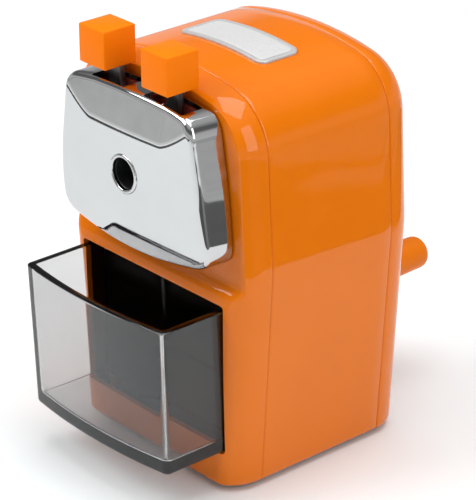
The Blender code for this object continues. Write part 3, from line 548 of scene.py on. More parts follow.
HALF_OUTLINE = casing_half()


def foot_round(height):
    """How far the rounded bottom edge has drawn in at this height."""
    past = max(1 - height / FOOT_ROUND, 0.0)
    return FOOT_ROUND * (1 - math.sqrt(1 - past * past))


def pulled_in(inset):
    """(x, height) points of the right half of the outline, moved inwards."""
    points = []
    for x, height, normal_x, normal_height in HALF_OUTLINE:
        rise = -inset * normal_height if height > FOOT_ROUND else 0.0
        points.append((x - foot_round(height) - inset * normal_x, height + rise))
    return points


def both_sides(name, rows):
    """An orange shell from rows of right-hand points, mirrored and welded at the middle."""
    rings = [[place(*point) for point in row] for row in rows]
    mirror = [[place(-x, depth, height) for x, depth, height in row] for row in rows]
    verts, faces = skin(rings, closed=False)
    more_verts, more_faces = skin(mirror, closed=False)
    shift = len(verts)
    faces += [tuple(i + shift for i in face) for face in more_faces]
    return mesh_piece(name, verts + more_verts, faces, "orange_gloss", weld=SHELL_WELD)


def recess(height):
    """How far back the upper front stands, with the eased ledge below it."""
    return RECESS_DEPTH * ease((height - LEDGE[0]) / (LEDGE[1] - LEDGE[0]))


def end_rows(depth_of, degrees, round_size, steps):
    """Rows of a panel: seam lip, rounded edge, then the flat drawn in to the middle."""
    width, length = round_size
    rows = []
    for back, inset in SEAM_LIP:
        rows.append([(x, depth_of(length - back, h), h) for x, h in pulled_in(inset)])
    for angle in map(math.radians, degrees):
        depth = length * (1 - math.sin(angle))
        edge = pulled_in(width * (1 - math.cos(angle)))
        rows.append([(x, depth_of(depth, h), h) for x, h in edge])
    for step in range(1, steps + 1):
        share = 1 - step / steps
        rows.append([(x * share, depth_of(0.0, h), h) for x, h in edge])
    return rows


def make_front_panel():
    """The front, with its recess, the drawer's opening, and ways for pencil and rods."""

    def depth_of(depth, height):
        if height > LEDGE[0]:
            return soft_max(depth, recess(height), RECESS_BLEND)
        return depth + foot_round(height) * (1 - depth / FRONT_SEAM)

    panel = both_sides("front_panel_shell", end_rows(depth_of, FRONT_ANGLES, FRONT_ROUND, 16))
    face_outwards(panel, place(0, 60, 60))
    # The inner faces take a dark brown painted shade, for the orange wall that lies in deep shade.
    thicken(panel, WALL, "painted_shade_inside")
    settle(panel)
    cutters = [prism_block("opening", rounded(OPENING, OPENING_RADII), FRONT_CUT)]
    cutters.append(prism_block("pencil_way", circle(PENCIL_WAY_RADIUS, AXIS_SPOT), FRONT_CUT))
    for x in (-ROD_X, ROD_X):
        cutters.append(prism_block("rod_way", circle(ROD_WAY_RADIUS, (x, ROD_HEIGHT)), FRONT_CUT))
    finish_piece(cut_away(panel, *cutters), "casing", "orange_casing", "front_panel")


def make_middle_shell():
    """The wrap between the two seams."""
    near = [(FRONT_SEAM + back, inset) for back, inset in SEAM_LIP]
    flat = [(depth, 0.0) for depth in span(*SHELL_FLAT, 4)]
    far = [(REAR_SEAM - back, inset) for back, inset in reversed(SEAM_LIP)]
    rows = [[(x, depth, h) for x, h in pulled_in(inset)] for depth, inset in near + flat + far]
    shell = both_sides("middle_wrap", rows)
    face_outwards(shell, place(0, 34, 60))
    settle(thicken(shell, WALL))
    finish_piece(shell, "casing", "orange_casing", "middle_shell")


def make_rear_panel():
    """The rounded back, with the hole for the crank's shaft."""
    size = (REAR_ROUND, BODY_DEPTH - REAR_SEAM)

    def depth_of(depth, height):
        return BODY_DEPTH - depth - foot_round(height) * (1 - depth / size[1])

    panel = both_sides("rear_panel_shell", end_rows(depth_of, REAR_ANGLES, size, 12))
    face_outwards(panel, place(0, 20, 60))
    settle(thicken(panel, WALL))
    hole = prism_block("shaft_way", circle(SHAFT_WAY_RADIUS, AXIS_SPOT), REAR_CUT)
    finish_piece(cut_away(panel, hole), "casing", "orange_casing", "rear_panel")


def finish_piece(piece, body, slot, *nodes):
    """Rides on a body and stands for these CAD nodes; the slot is not used."""
    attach(piece, body)
    if nodes:
        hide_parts(*nodes)
    return piece


# ---------------------------------------------------------------- chrome cover

FACE_DEPTH = -9.0
FACE_CROWN = 1.8
FACE_HALF_WIDTH = 31.6
FACE_BACK = 2.4
FACE_WALL = 1.2
FACE_DRAFT = 0.7
FACE_ROUND = 1.9
BROW_HEIGHT = 103.2
BROW_FLAT, BROW_REACH = 15.0, 11.5
BROW_RISE, BROW_POWER = 7.0, 1.35
BROW_LEAN = 2.2 / 11.7
CREASE_ROUND = 1.3
CREASE_BAND = 0.034
CHIN_START = 92.0
CHIN_CURVE = 0.0033
COVER_HALF = [
    (0.0, 66.8), (6.0, 66.95), (12.0, 67.35), (19.0, 68.2), (24.0, 68.95),
    (27.2, 69.5), (29.9, 71.0), (31.3, 73.4), (31.6, 76.5), (31.45, 80.0),
    (30.3, 92.0), (29.1, 99.5), (28.2, 105.0), (27.55, 108.6), (26.5, 111.2),
    (24.4, 113.0), (21.0, 113.7), (12.0, 114.5), (0.0, 114.9),
]
LOW_CORNER, HIGH_CORNER = (30.0, 71.0), (26.2, 111.6)
CURVE_STEPS = 24
COLUMNS, MAIN_ROWS, BROW_ROWS = 56, 44, 12
CREASE_LOW, CREASE_TOP = 0.3, 0.955
HALVINGS = 18
RIM_STEPS, SKIRT_STEPS = 6, 7
COVER_HOLE_RADIUS = 5.6
HOLE_CUT = (-15, 5)
SLOTS = ((-17.0, -2.0), (6.0, 22.0))
SLOT_HEIGHT = 112.4
SLOT_FRONT, SLOT_BACK = 1.0, 1.4
SLOT_CORNER = 0.5
SLOT_CUT = (107, 120)


def smooth_loop(points):
    """A smooth closed curve through the points."""
    result = []
    count = len(points)
    for i in range(count):
        a, b, c, d = (Vector(points[(i + k) % count]) for k in (-1, 0, 1, 2))
        span_ab, span_bc, span_cd = ((q - p).length ** 0.5 for p, q in ((a, b), (b, c), (c, d)))
        tangent_b = (b - a) / span_ab - (c - a) / (span_ab + span_bc) + (c - b) / span_bc
        tangent_c = (c - b) / span_bc - (d - b) / (span_bc + span_cd) + (d - c) / span_cd
        tangent_b, tangent_c = tangent_b * span_bc, tangent_c * span_bc
        for step in range(CURVE_STEPS):
            t = step / CURVE_STEPS
            result.append(
                b * (2 * t**3 - 3 * t**2 + 1) + tangent_b * (t**3 - 2 * t**2 + t)
                + c * (3 * t**2 - 2 * t**3) + tangent_c * (t**3 - t**2)
            )
    return result


def cover_curve():
    """The cover's outline as (point, outward normal) pairs, anticlockwise from below."""
    points = COVER_HALF + [(-x, h) for x, h in reversed(COVER_HALF[1:-1])]
    line = smooth_loop(points)
    count = len(line)
    pairs = []
    for i, point in enumerate(line):
        along = (line[(i + 1) % count] - line[i - 1]).normalized()
        pairs.append((point, Vector((along.y, -along.x))))
    return pairs


def face_depth(x, height):
    """Depth of the cover's front: crowned, with a leaning brow and a curved chin."""
    depth = FACE_DEPTH + FACE_CROWN * (x / FACE_HALF_WIDTH) ** 2
    depth += BROW_LEAN * soft_max(height - brow_line(x), 0.0, CREASE_ROUND)
    return depth + CHIN_CURVE * max(CHIN_START - height, 0.0) ** 2


def brow_line(x):
    """Height of the crease between the main face and the brow."""
    past = max(abs(x) - BROW_FLAT, 0.0) / BROW_REACH
    return BROW_HEIGHT + BROW_RISE * past**BROW_POWER


class Side:
    """One side of the cover's outline, sampled by its share of the length."""

    def __init__(self, pairs):
        self.pairs = pairs
        self.lengths = [0.0]
        for (a, _), (b, _) in zip(pairs, pairs[1:]):
            self.lengths.append(self.lengths[-1] + (b - a).length)

    def at(self, share, inset=0.0):
        """The point at a share of the length, moved inwards by an inset."""
        target = share * self.lengths[-1]
        i = 0
        while i < len(self.pairs) - 2 and self.lengths[i + 1] < target:
            i += 1
        part = (target - self.lengths[i]) / (self.lengths[i + 1] - self.lengths[i])
        (p, n), (q, m) = self.pairs[i], self.pairs[i + 1]
        return p.lerp(q, part) - n.lerp(m, part).normalized() * inset


def cover_sides():
    """(bottom, right, top, left) sides, which run left to right or upwards."""
    pairs = cover_curve()
    count = len(pairs)

    def nearest(corner, sign):
        target = Vector((sign * corner[0], corner[1]))
        return min(range(count), key=lambda i: (pairs[i][0] - target).length)

    low_right, high_right = nearest(LOW_CORNER, 1), nearest(HIGH_CORNER, 1)
    high_left, low_left = nearest(HIGH_CORNER, -1), nearest(LOW_CORNER, -1)
    bottom = [pairs[i % count] for i in range(low_left, low_right + count + 1)]
    right = pairs[low_right : high_right + 1]
    top = pairs[high_right : high_left + 1][::-1]
    left = pairs[high_left : low_left + 1][::-1]
    return Side(bottom), Side(right), Side(top), Side(left)


def patch_point(sides, u, v, inset):
    """A point of the patch that the four sides bound."""
    bottom, right, top, left = sides
    low, high = bottom.at(u, inset), top.at(u, inset)
    near, far = left.at(v, inset), right.at(v, inset)
    corners = bottom.at(0, inset) * (1 - u) * (1 - v) + bottom.at(1, inset) * u * (1 - v)
    corners += top.at(0, inset) * (1 - u) * v + top.at(1, inset) * u * v
    return low * (1 - v) + high * v + near * (1 - u) + far * u - corners


def crease_share(sides, u, inset):
    """Where up a column of the patch the brow crease lies."""
    low, high = CREASE_LOW, 1.0
    for _ in range(HALVINGS):
        middle = (low + high) / 2
        x, height = patch_point(sides, u, middle, inset)
        if height < brow_line(x):
            low = middle
        else:
            high = middle
    return (low + high) / 2


def row_shares(sides, u):
    """Shares up one column of the face, closest together round the crease."""
    crease = min(crease_share(sides, u, FACE_ROUND), CREASE_TOP)
    rest = crease + CREASE_BAND
    shares = [(crease - CREASE_BAND) * j / MAIN_ROWS for j in range(MAIN_ROWS)]
    shares += [crease + CREASE_BAND * j / 8 for j in range(-8, 8)]
    return shares + [rest + (1 - rest) * j / BROW_ROWS for j in range(BROW_ROWS + 1)]


def face_grid(sides, shares):
    """Columns of points on the cover's front."""
    grid = []
    for i, column in enumerate(shares):
        spots = [patch_point(sides, i / COLUMNS, v, FACE_ROUND) for v in column]
        grid.append([place(x, face_depth(x, height), height) for x, height in spots])
    return grid


def face_border(sides, shares):
    """(side, share) of every point round the grid, anticlockwise from below on the left."""
    last = len(shares[0]) - 1
    bottom, right, top, left = sides
    border = [(bottom, i / COLUMNS) for i in range(COLUMNS)]
    border += [(right, shares[COLUMNS][j]) for j in range(last)]
    border += [(top, i / COLUMNS) for i in range(COLUMNS, 0, -1)]
    return border + [(left, shares[0][j]) for j in range(last, 0, -1)]


def cover_rim(border):
    """Rings of the rounded edge, then of the skirt that widens towards the back."""
    rings = []
    for step in range(RIM_STEPS + 1):
        angle = math.pi / 2 * step / RIM_STEPS
        ring = []
        for side, share in border:
            inner = side.at(share, FACE_ROUND)
            x, height = side.at(share, FACE_ROUND * (1 - math.sin(angle)))
            ring.append(place(x, face_depth(*inner) + FACE_ROUND * (1 - math.cos(angle)), height))
        rings.append(ring)
    edge = rings[-1]
    back = place(0, FACE_BACK, 0).y
    for step in range(1, SKIRT_STEPS + 1):
        ring = []
        for point, (side, share) in zip(edge, border):
            outward = (side.at(share) - side.at(share, 1.0)).x
            spread = FACE_DRAFT * MM * outward * step / SKIRT_STEPS
            depth = point.y + (back - point.y) * step / SKIRT_STEPS
            ring.append((point.x + spread, depth, point.z))
        rings.append(ring)
    return rings


def slot_cutter(low, high):
    """A block that opens the cover's top for one button and its lever."""
    front = [low + (high - low) * k / 8 for k in range(9)]
    corners = [(x, face_depth(x, SLOT_HEIGHT) + SLOT_FRONT) for x in front]
    corners += [(high, SLOT_BACK), (low, SLOT_BACK)]
    outline = rounded(corners, [SLOT_CORNER] + [0] * 7 + [SLOT_CORNER] * 3)
    rings = [[place(x, depth, height) for x, depth in outline] for height in SLOT_CUT]
    return mesh_piece("slot", *skin(rings, capped=True))


def make_cover():
    """The pressed chrome cover, with the pencil hole and the slots for the buttons."""
    sides = cover_sides()
    shares = [row_shares(sides, i / COLUMNS) for i in range(COLUMNS + 1)]
    verts, faces = skin(face_grid(sides, shares), closed=False)
    more_verts, more_faces = skin(cover_rim(face_border(sides, shares)))
    shift = len(verts)
    faces += [tuple(i + shift for i in face) for face in more_faces]
    cover = mesh_piece("chrome_cover_shell", verts + more_verts, faces, "chrome", weld=SHELL_WELD)
    face_outwards(cover, place(0, 6, AXIS_HEIGHT))
    settle(thicken(cover, FACE_WALL))
    cutters = [prism_block("hole", circle(COVER_HOLE_RADIUS, AXIS_SPOT, 96), HOLE_CUT)]
    cutters += [slot_cutter(*slot) for slot in SLOTS]
    cut_away(cover, *cutters)
    finish_piece(cover, "carriage", "chrome_cover", "face_plate")


LIP_RADIUS = 5.25
LIP_WIDTH, LIP_RISE = 0.6, 0.4
GUIDE_PROFILE = [
    (4.75, FACE_DEPTH + 1.0), (5.5, FACE_DEPTH + 1.1), (5.5, -2.2), (4.5, -2.2),
    (4.6, FACE_DEPTH + 1.2),
]


def make_hole_parts():
    """The rolled chrome lip round the pencil hole, and the black guide inside it."""
    rim = []
    for step in range(13):
        angle = math.pi * step / 12
        radius = LIP_RADIUS - LIP_WIDTH * math.cos(angle)
        rim.append((radius, FACE_DEPTH + 0.05 - LIP_RISE * math.sin(angle)))
    rim += [(LIP_RADIUS + LIP_WIDTH, FACE_DEPTH + 0.9), (LIP_RADIUS - LIP_WIDTH, FACE_DEPTH + 0.9)]
    lip = turned("pencil_hole_lip", rim, "chrome", AXIS_SPOT)
    finish_piece(lip, "carriage", "chrome_cover")
    tube = turned("pencil_guide", GUIDE_PROFILE, "black_plastic", AXIS_SPOT)
    finish_piece(tube, "carriage", "black_plastic", "pencil_tube")


# ---------------------------------------------------------------- drawer

DRAWER_LOW, DRAWER_HIGH = 11.7, 56.3
DRAWER_WALL = 2.2
DRAWER_FLOOR = 3.4
DRAWER_BACK = 29.0
DRAWER_BOW = 2.4
DRAWER_HALF, DRAWER_FRONT = 30.0, -20.0
DRAWER_FLARE = (0.6, 1.3)
DRAWER_CORNER = 1.9
DRAWER_BACK_CORNER = 1.4
RIM_ROUND = 0.2
RIM_SHAVE = 0.06
SUPPORT = 0.25


def drawer_loop(height, inset):
    """Plan of the drawer at a height, with a bowed front and rounded corners."""
    share = (height - DRAWER_LOW) / (DRAWER_HIGH - DRAWER_LOW)
    half = DRAWER_HALF + DRAWER_FLARE[0] * share - inset
    front = DRAWER_FRONT - DRAWER_FLARE[1] * share + inset
    back = DRAWER_BACK - inset
    round_front, round_back = max(DRAWER_CORNER - inset * 0.7, 0.4), DRAWER_BACK_CORNER
    near, far = front + round_front + SUPPORT, back - round_back - SUPPORT
    edge = 1 - (round_front + SUPPORT) / half
    shares = [edge] + span(0.9, -0.9, -0.05) + [-0.9, -edge]
    bow = [(half * u, front - DRAWER_BOW * (1 - u * u)) for u in shares]
    across = half - round_back - SUPPORT
    corners = [(-half, back), (-across, back), (across, back), (half, back)]
    corners += [(half, far), (half, near), (half, front), *bow]
    corners += [(-half, front), (-half, near), (-half, far)]
    radii = [round_back, 0, 0, round_back, 0, 0, round_front]
    radii += [0] * len(bow) + [round_front, 0, 0]
    return [place(x, depth, height) for x, depth in rounded(corners, radii)]


def make_drawer():
    """The clear drawer: up the outside, over the rim, and down to the inner floor."""
    low, high, wall = DRAWER_LOW, DRAWER_HIGH, DRAWER_WALL
    floor = low + DRAWER_FLOOR
    loops = [(low, 1.6), (low, 1.2), (low + 0.15, 0.6), (low + 0.6, 0.12)]
    loops += [(low + 1.2, 0.0), (low + 1.2 + SUPPORT, 0.0)]
    loops += [(height, 0.0) for height in span(low + 6, high - 3, 6)]
    loops += [(high - RIM_ROUND - SUPPORT, 0.0), (high - RIM_ROUND, 0.0)]
    loops += [(high - RIM_SHAVE, RIM_SHAVE), (high, RIM_ROUND)]
    loops += [(high, wall - RIM_ROUND), (high - RIM_SHAVE, wall - RIM_SHAVE)]
    loops += [(high - RIM_ROUND, wall), (high - RIM_ROUND - SUPPORT, wall)]
    loops += [(height, wall) for height in span(high - 3, floor + 1.5, -6)]
    loops += [(floor + 1.0 + SUPPORT, wall), (floor + 1.0, wall + 0.02)]
    loops += [(floor + 0.3, wall + 0.3), (floor, wall + 1.0), (floor, wall + 1.4)]
    rings = [drawer_loop(height, inset) for height, inset in loops]
    drawer = mesh_piece("shavings_drawer_clear", *skin(rings, capped=True), "smoke")
    finish_piece(settle(drawer), "drawer", "smoke_clear", "shavings_drawer")


# ---------------------------------------------------------------- small parts

BUTTON = 11.2
BUTTON_X = 13.4
BUTTON_SPOT = (-2.75, 123.7)
BUTTON_WELL = (2.8, 110, 123.1)
WELL_DEPTHS = (-1.9, 1.1)
STEM_X = 12.6
SIDES = (("left", -1), ("right", 1))
LEVER_DEPTHS = (-1.6, 0.8)
LEVER_PIVOT = (10.0, 104.0)
LEVER_BOSS = 4.2
LEVER_HOLE = 1.8
PLATE_INSET = 0.5
PLATE_DEPTHS = (1.3, 2.4)
PLATE_HOLE = 6.4
PLATE_STEPS = 12
KNOB_SPOT = (6.7, 35.6)
KNOB_PROFILE = [
    (1.9, 74.0), (4.7, 74.0), (5.25, 74.15), (5.6, 74.5), (5.72, 75.1), (5.55, 80.0),
    (5.35, 86.0), (5.15, 92.0), (5.05, 97.3),
]
DOME_CENTRE, DOME_SIZE = (2.4, 97.9), (2.62, 2.6)
KNOB_END = [(0, 100.5), (0, 97.6), (1.9, 97.6)]
LABEL_HALF = (17.7, 7.6)
LABEL_CORNER = 3.0
LABEL_MIDDLE = 33.4
BEVEL_ANGLE = math.radians(40.0)


def add_bevel(piece, width, segments=3):
    """Rounds the piece's sharp edges by a width in millimetres."""
    edge = piece.modifiers.new("edge", "BEVEL")
    edge.width = width * MM
    edge.segments = segments
    edge.limit_method = "ANGLE"
    edge.angle_limit = BEVEL_ANGLE
    return piece


def rectangle(x, half, low, high):
    """Corners of an upright rectangle about x, from one height to another."""
    return [(x - half, low), (x + half, low), (x + half, high), (x - half, high)]


def make_buttons():
    """The two square buttons, each hollowed for its lever's stem."""
    depth, height = BUTTON_SPOT
    half = BUTTON / 2
    for side, sign in SIDES:
        square = rectangle(sign * BUTTON_X, half, height - half, height + half)
        depths = (depth - half, depth + half)
        button = prism_block(f"{side}_button_cap", square, depths, "orange_satin")
        well = rectangle(sign * STEM_X, *BUTTON_WELL)
        cut_away(button, prism_block("socket", well, WELL_DEPTHS))
        settle(add_bevel(button, 0.45))
        finish_piece(button, f"{side}_grip", "orange_buttons", f"{side}_button")


def make_levers():
    """The two stamped levers, each with a narrow stem that carries a button."""
    pivot_x, pivot_height = LEVER_PIVOT
    outline = [(10.1, 122.8), (10.1, 113.0), (9.0, 108.5), (6.4, 106.0), (6.0, 102.0)]
    outline += [(5.3, 96.0), (5.3, 86.4), (9.0, 86.4), (9.4, 95.0)]
    for step in range(9):
        angle = math.radians(-50 + 90 * step / 8)
        x, height = LEVER_BOSS * math.cos(angle), LEVER_BOSS * math.sin(angle)
        outline.append((pivot_x + x, pivot_height + height))
    outline += [(14.2, 108.5), (15.1, 113.0), (15.1, 122.8)]
    for side, sign in SIDES:
        mirrored = [(sign * x, height) for x, height in outline]
        lever = prism_block(f"{side}_lever_plate", mirrored, LEVER_DEPTHS, "lever_metal")
        hole = circle(LEVER_HOLE, (sign * pivot_x, pivot_height), 32)
        cut_away(lever, prism_block("pivot", hole, (-5, 5)))
        settle(add_bevel(lever, 0.3))
        finish_piece(lever, f"{side}_grip", "lever_metal", f"{side}_lever")


def make_carriage_plate():
    """The plate behind the cover that the levers stand against, dark red-brown as painted shade."""
    bottom, right, top, left = cover_sides()
    inset = FACE_WALL + PLATE_INSET
    shares = [k / PLATE_STEPS for k in range(PLATE_STEPS)]
    edge = [side.at(share, inset) for side in (bottom, right) for share in shares]
    edge += [side.at(1 - share, inset) for side in (top, left) for share in shares]
    outline = [tuple(point) for point in edge]
    # Its dark red-brown is painted shade for the plate deep behind the cover.
    plate = prism_block("carriage_back", outline, PLATE_DEPTHS, "brown_plastic")
    cut_away(plate, prism_block("hole", circle(PLATE_HOLE, AXIS_SPOT), FRONT_CUT))
    settle(add_bevel(plate, 0.2))
    finish_piece(plate, "carriage", "black_plastic", "carriage_plate")


def make_knob():
    """The crank's handle, a tapered grip with a domed end."""
    profile = list(KNOB_PROFILE)
    for step in range(1, 9):
        angle = math.pi / 2 * step / 8
        radius = DOME_CENTRE[0] + DOME_SIZE[0] * math.cos(angle)
        profile.append((radius, DOME_CENTRE[1] + DOME_SIZE[1] * math.sin(angle)))
    knob = turned("crank_handle", profile + KNOB_END, "knob_satin", KNOB_SPOT)
    finish_piece(knob, "knob", "orange_buttons", "crank_knob")


def crown_height(x):
    """Height of the casing's crown at a distance from the middle."""
    middle = CROWN_EDGE.y - CROWN_RADIUS * math.cos(CROWN_SLOPE)
    return middle + math.sqrt(CROWN_RADIUS * CROWN_RADIUS - x * x)


def label_loop(lift, inset, share=1.0):
    """The label's outline, lifted off the crown, inset, and shortened to a share."""
    half_x, half_y = (half - inset for half in LABEL_HALF)
    corners = [(half_x, half_y), (-half_x, half_y), (-half_x, -half_y), (half_x, -half_y)]
    outline = [Vector(p) for p in rounded(corners, [LABEL_CORNER - inset] * 4, 8)]
    loop = []
    for i, point in enumerate(outline):
        pieces = 12 if i % 9 == 8 else 1
        after = outline[(i + 1) % len(outline)]
        loop += [point.lerp(after, k / pieces) for k in range(pieces)]
    return [place(p.x, LABEL_MIDDLE + p.y * share, crown_height(p.x) + lift) for p in loop]


# Pieces of the label: (lift, inset) profile, finish, and the nodes it stands for.
LABEL_PIECES = {
    "top_label_frame": (
        [(0.05, 0.0), (0.45, 0.0), (0.62, 0.08), (0.70, 0.25), (0.70, 1.5), (0.60, 1.7)],
        "label", ("top_label",),
    ),
    "top_label_panel": ([(0.50, 1.6), (0.62, 1.72), (0.66, 1.85)], "label_panel", ()),
}


def make_label():
    """A thin foil plate on the crown with a rounded frame, and a paler panel inside it."""
    for name, (profile, finish, nodes) in LABEL_PIECES.items():
        rings = [label_loop(lift, inset) for lift, inset in profile]
        lift, inset = profile[-1]
        rings += [label_loop(lift, inset, 1 - step / 8) for step in range(1, 9)]
        plate = mesh_piece(name, *skin(rings), finish, weld=LABEL_WELD)
        face_outwards(plate, place(0, LABEL_MIDDLE, 100))
        finish_piece(settle(plate, 30), "casing", "silver_label", *nodes)


TURN_STEPS = 20
WIRE_STEPS = 8
CLOSED_PITCH = 2.1
# Springs: radius of the coil, radius of the wire, turns.
RETURN_COIL, JAW_COIL = (3.0, 0.42, 11), (1.2, 0.28, 9)
RETURN_DEPTHS = (9.8, 56.9)


def make_spring(node, body, start, end, radius, wire, turns):
    """A wire coil with closed end turns that stands for a CAD spring."""
    axis = (end - start).normalized()
    side = axis.orthogonal().normalized()
    other = axis.cross(side)
    tight = CLOSED_PITCH * wire * MM / (end - start).length
    section = [2 * math.pi * k / WIRE_STEPS for k in range(WIRE_STEPS)]
    rings = []
    for i in range(turns * TURN_STEPS + 1):
        turn = i / TURN_STEPS
        middle = tight + (1 - 2 * tight) * (turn - 1) / (turns - 2)
        share = min(max(middle, tight * turn), 1 - tight * (turns - turn))
        out = side * math.cos(2 * math.pi * turn) + other * math.sin(2 * math.pi * turn)
        centre = start + (end - start) * share + out * radius * MM
        ring = [centre + (out * math.cos(a) + axis * math.sin(a)) * wire * MM for a in section]
        rings.append(ring)
    coil = mesh_piece(f"{node}_coil", *skin(rings, capped=True), "steel")
    return finish_piece(settle(coil), body, "steel_parts", node)


def make_springs():
    """The two return springs on the guide rods, and the spring between the levers."""
    for side, sign in SIDES:
        start, end = (place(sign * ROD_X, depth, ROD_HEIGHT) for depth in RETURN_DEPTHS)
        coil = make_spring(f"{side}_return_spring", "carriage", start, end, *RETURN_COIL)
        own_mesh(coil)
    start, end = place(-7.9, -0.5, 109.6), place(7.9, -0.5, 109.6)
    coil = make_spring("jaw_spring", "carriage", start, end, *JAW_COIL)
    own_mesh(coil)


EDGE_WIDTHS = {"crank_arm": 0.5, "base_pad": 0.35, "crank_screw": 0.25}
LEAST_EDGE = 0.15
NODE_WELD = 0.01


def dress_nodes():
    """Softens the edges of the CAD nodes that keep their shape."""
    for name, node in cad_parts.items():
        if node.hide_render or "spring" in name:
            continue
        weld = node.modifiers.new("weld", "WELD")
        weld.merge_threshold = NODE_WELD * MM
        add_bevel(node, EDGE_WIDTHS.get(name, LEAST_EDGE), 2)


paint_nodes()
make_front_panel()
make_middle_shell()
make_rear_panel()
make_cover()
make_hole_parts()
make_drawer()
make_buttons()
make_levers()
make_carriage_plate()
make_knob()
make_label()
make_springs()
dress_nodes()


# ---------------------------------------------------------------- camera, floor and light

VIEW_AZIMUTH = math.radians(49.12)
VIEW_ELEVATION = math.radians(25.01)
VIEW_ROLL = math.radians(-0.43)
VIEW_POINT = (517.4, -415.4, 373.7)
SENSOR_MM = 36.0
LENS_MM = 196.9
SKY_BANDS = [(0.0, 0.66), (0.12, 0.60), (0.25, 0.16), (0.5, 0.14), (0.75, 0.50), (1.0, 0.80)]
FLOOR_RADIUS = 4.0
FLOOR_TINTS = [(0.3, (0.835, 0.865, 0.875)), (0.7, (0.855, 0.885, 0.895))]
FLOOR_GLOW = 0.04
FLOOR_GAP = 0.00005


def view_matrix():
    """The camera's placing, which looks along -z of the matrix."""
    cos_a, sin_a = math.cos(VIEW_AZIMUTH), math.sin(VIEW_AZIMUTH)
    cos_e, sin_e = math.cos(VIEW_ELEVATION), math.sin(VIEW_ELEVATION)
    back = Vector((sin_a * cos_e, -cos_a * cos_e, sin_e))
    right = Vector((cos_a, sin_a, 0.0))
    up = back.cross(right)
    cos_r, sin_r = math.cos(VIEW_ROLL), math.sin(VIEW_ROLL)
    axes = (cos_r * right + sin_r * up, cos_r * up - sin_r * right, back)
    return Matrix.Translation(place(*VIEW_POINT)) @ Matrix(axes).transposed().to_4x4()


def add_camera():
    """The camera of the main view."""
    data = bpy.data.cameras.new("camera")
    data.sensor_fit = "HORIZONTAL"
    data.sensor_width = SENSOR_MM
    data.lens = LENS_MM
    data.clip_start = 0.01
    data.clip_end = 20.0
    camera = bpy.data.objects.new("camera", data)
    SCENE.collection.objects.link(camera)
    camera.matrix_world = view_matrix()
    SCENE.camera = camera


def add_world():
    """A bright studio sky that is greyer towards the horizon."""
    world = bpy.data.worlds.new("studio")
    world.use_nodes = True
    SCENE.world = world
    tree = world.node_tree
    background = tree.nodes["Background"]
    source = add_node(tree, "ShaderNodeTexCoord")
    split = add_node(tree, "ShaderNodeSeparateXYZ")
    tree.links.new(source.outputs["Generated"], split.inputs["Vector"])
    feed(tree, split.outputs["Z"], SKY_BANDS, background.inputs["Color"])
    background.inputs["Strength"].default_value = 1.0


def add_softbox(name, spot, target, size, power):
    """A white area light that faces its target."""
    data = bpy.data.lights.new(name, "AREA")
    data.shape = "RECTANGLE"
    data.size, data.size_y = size
    data.energy = power
    light = bpy.data.objects.new(name, data)
    SCENE.collection.objects.link(light)
    light.location = spot
    light.rotation_euler = (Vector(target) - Vector(spot)).to_track_quat("-Z", "Y").to_euler()


def add_floor():
    """A white sweep just under the object."""
    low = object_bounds()[0]
    mesh = bpy.data.meshes.new("floor")
    floor = bpy.data.objects.new("floor", mesh)
    bm = bmesh.new()
    bmesh.ops.create_circle(bm, cap_ends=True, radius=FLOOR_RADIUS, segments=96)
    bm.to_mesh(mesh)
    bm.free()
    SCENE.collection.objects.link(floor)
    floor.location = (0.0, 0.0, low[2] - FLOOR_GAP)
    material, tree, shader = new_material("floor")
    cloud = noise(tree, object_coordinates(tree), 4.0)
    feed(tree, cloud, FLOOR_TINTS, shader.inputs["Base Color"])
    shader.inputs["Roughness"].default_value = 0.7
    shader.inputs["Emission Color"].default_value = (1.0, 1.0, 1.0, 1.0)
    shader.inputs["Emission Strength"].default_value = FLOOR_GLOW
    mesh.materials.append(material)


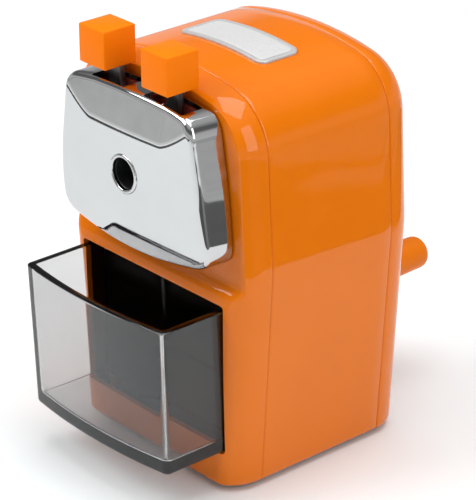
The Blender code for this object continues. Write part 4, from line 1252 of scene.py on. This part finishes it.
def add_flag(name, start, reach, near, far, half, grey):
    """A card on the floor that only reflections see, as a photographer's flag.

    It lies from near to far along its reach, and half its width to either side.
    """
    middle, reach = Vector(start), Vector(reach).normalized()
    across = Vector((-reach.y, reach.x, 0.0))
    corners = [(near, -half), (far, -half), (far, half), (near, half)]
    points = [middle + reach * along + across * aside for along, aside in corners]
    flag = mesh_piece(name, points, [(0, 1, 2, 3)])
    material, tree, shader = new_material(name)
    felt = noise(tree, object_coordinates(tree), 30.0)
    feed(tree, felt, [(0.3, grey * 0.8), (0.7, grey)], shader.inputs["Base Color"])
    flag.data.materials.append(material)
    flag.visible_camera = flag.visible_diffuse = False
    flag.visible_shadow = flag.visible_transmission = False


# Flags beside the casing, in front of it, and off its front corner: name, start,
# reach, nearest and farthest distance, half width, grey.
SIDE_START, FRONT_START = (0.039, 0.0, 0.002), (0.0, -0.04, 0.002)
SIDE_WAY, FRONT_WAY = (0.756, 0.654, 0.0), (-0.696, -0.718, 0.0)
CORNER_WAY = (0.966, -0.259, 0.0)
FLAGS = (
    ("side_flag", SIDE_START, SIDE_WAY, 0.150, 0.245, 0.28, 0.09),
    ("side_card", SIDE_START, SIDE_WAY, 0.246, 1.30, 0.45, 0.50),
    ("side_line", (0.039, 0.0, 0.003), SIDE_WAY, 0.262, 0.271, 0.28, 0.03),
    ("corner_flag", (0.035, -0.005, 0.004), CORNER_WAY, 0.145, 0.70, 0.22, 0.07),
    ("front_flag", FRONT_START, FRONT_WAY, 0.28, 0.36, 0.9, 0.03),
    ("front_card", FRONT_START, FRONT_WAY, 0.41, 0.55, 0.9, 0.70),
    ("far_card", FRONT_START, FRONT_WAY, 0.55, 1.5, 0.9, 0.54),
)
# Lights: name, place, size and power. They all face the middle of the object.
LIGHTS = (
    ("key", (-0.55, -0.75, 0.95), (0.7, 0.7), 9.0),
    ("top", (0.1, 0.1, 1.3), (0.9, 0.9), 9.4),
    ("right", (1.1, 0.1, 0.6), (0.5, 0.9), 3.9),
)
OBJECT_MIDDLE = (0.0, 0.0, 0.06)

add_camera()
add_world()
add_floor()
for flag_values in FLAGS:
    add_flag(*flag_values)
for light_name, spot, size, power in LIGHTS:
    add_softbox(light_name, spot, OBJECT_MIDDLE, size, power)
SCENE.view_settings.view_transform = "Standard"
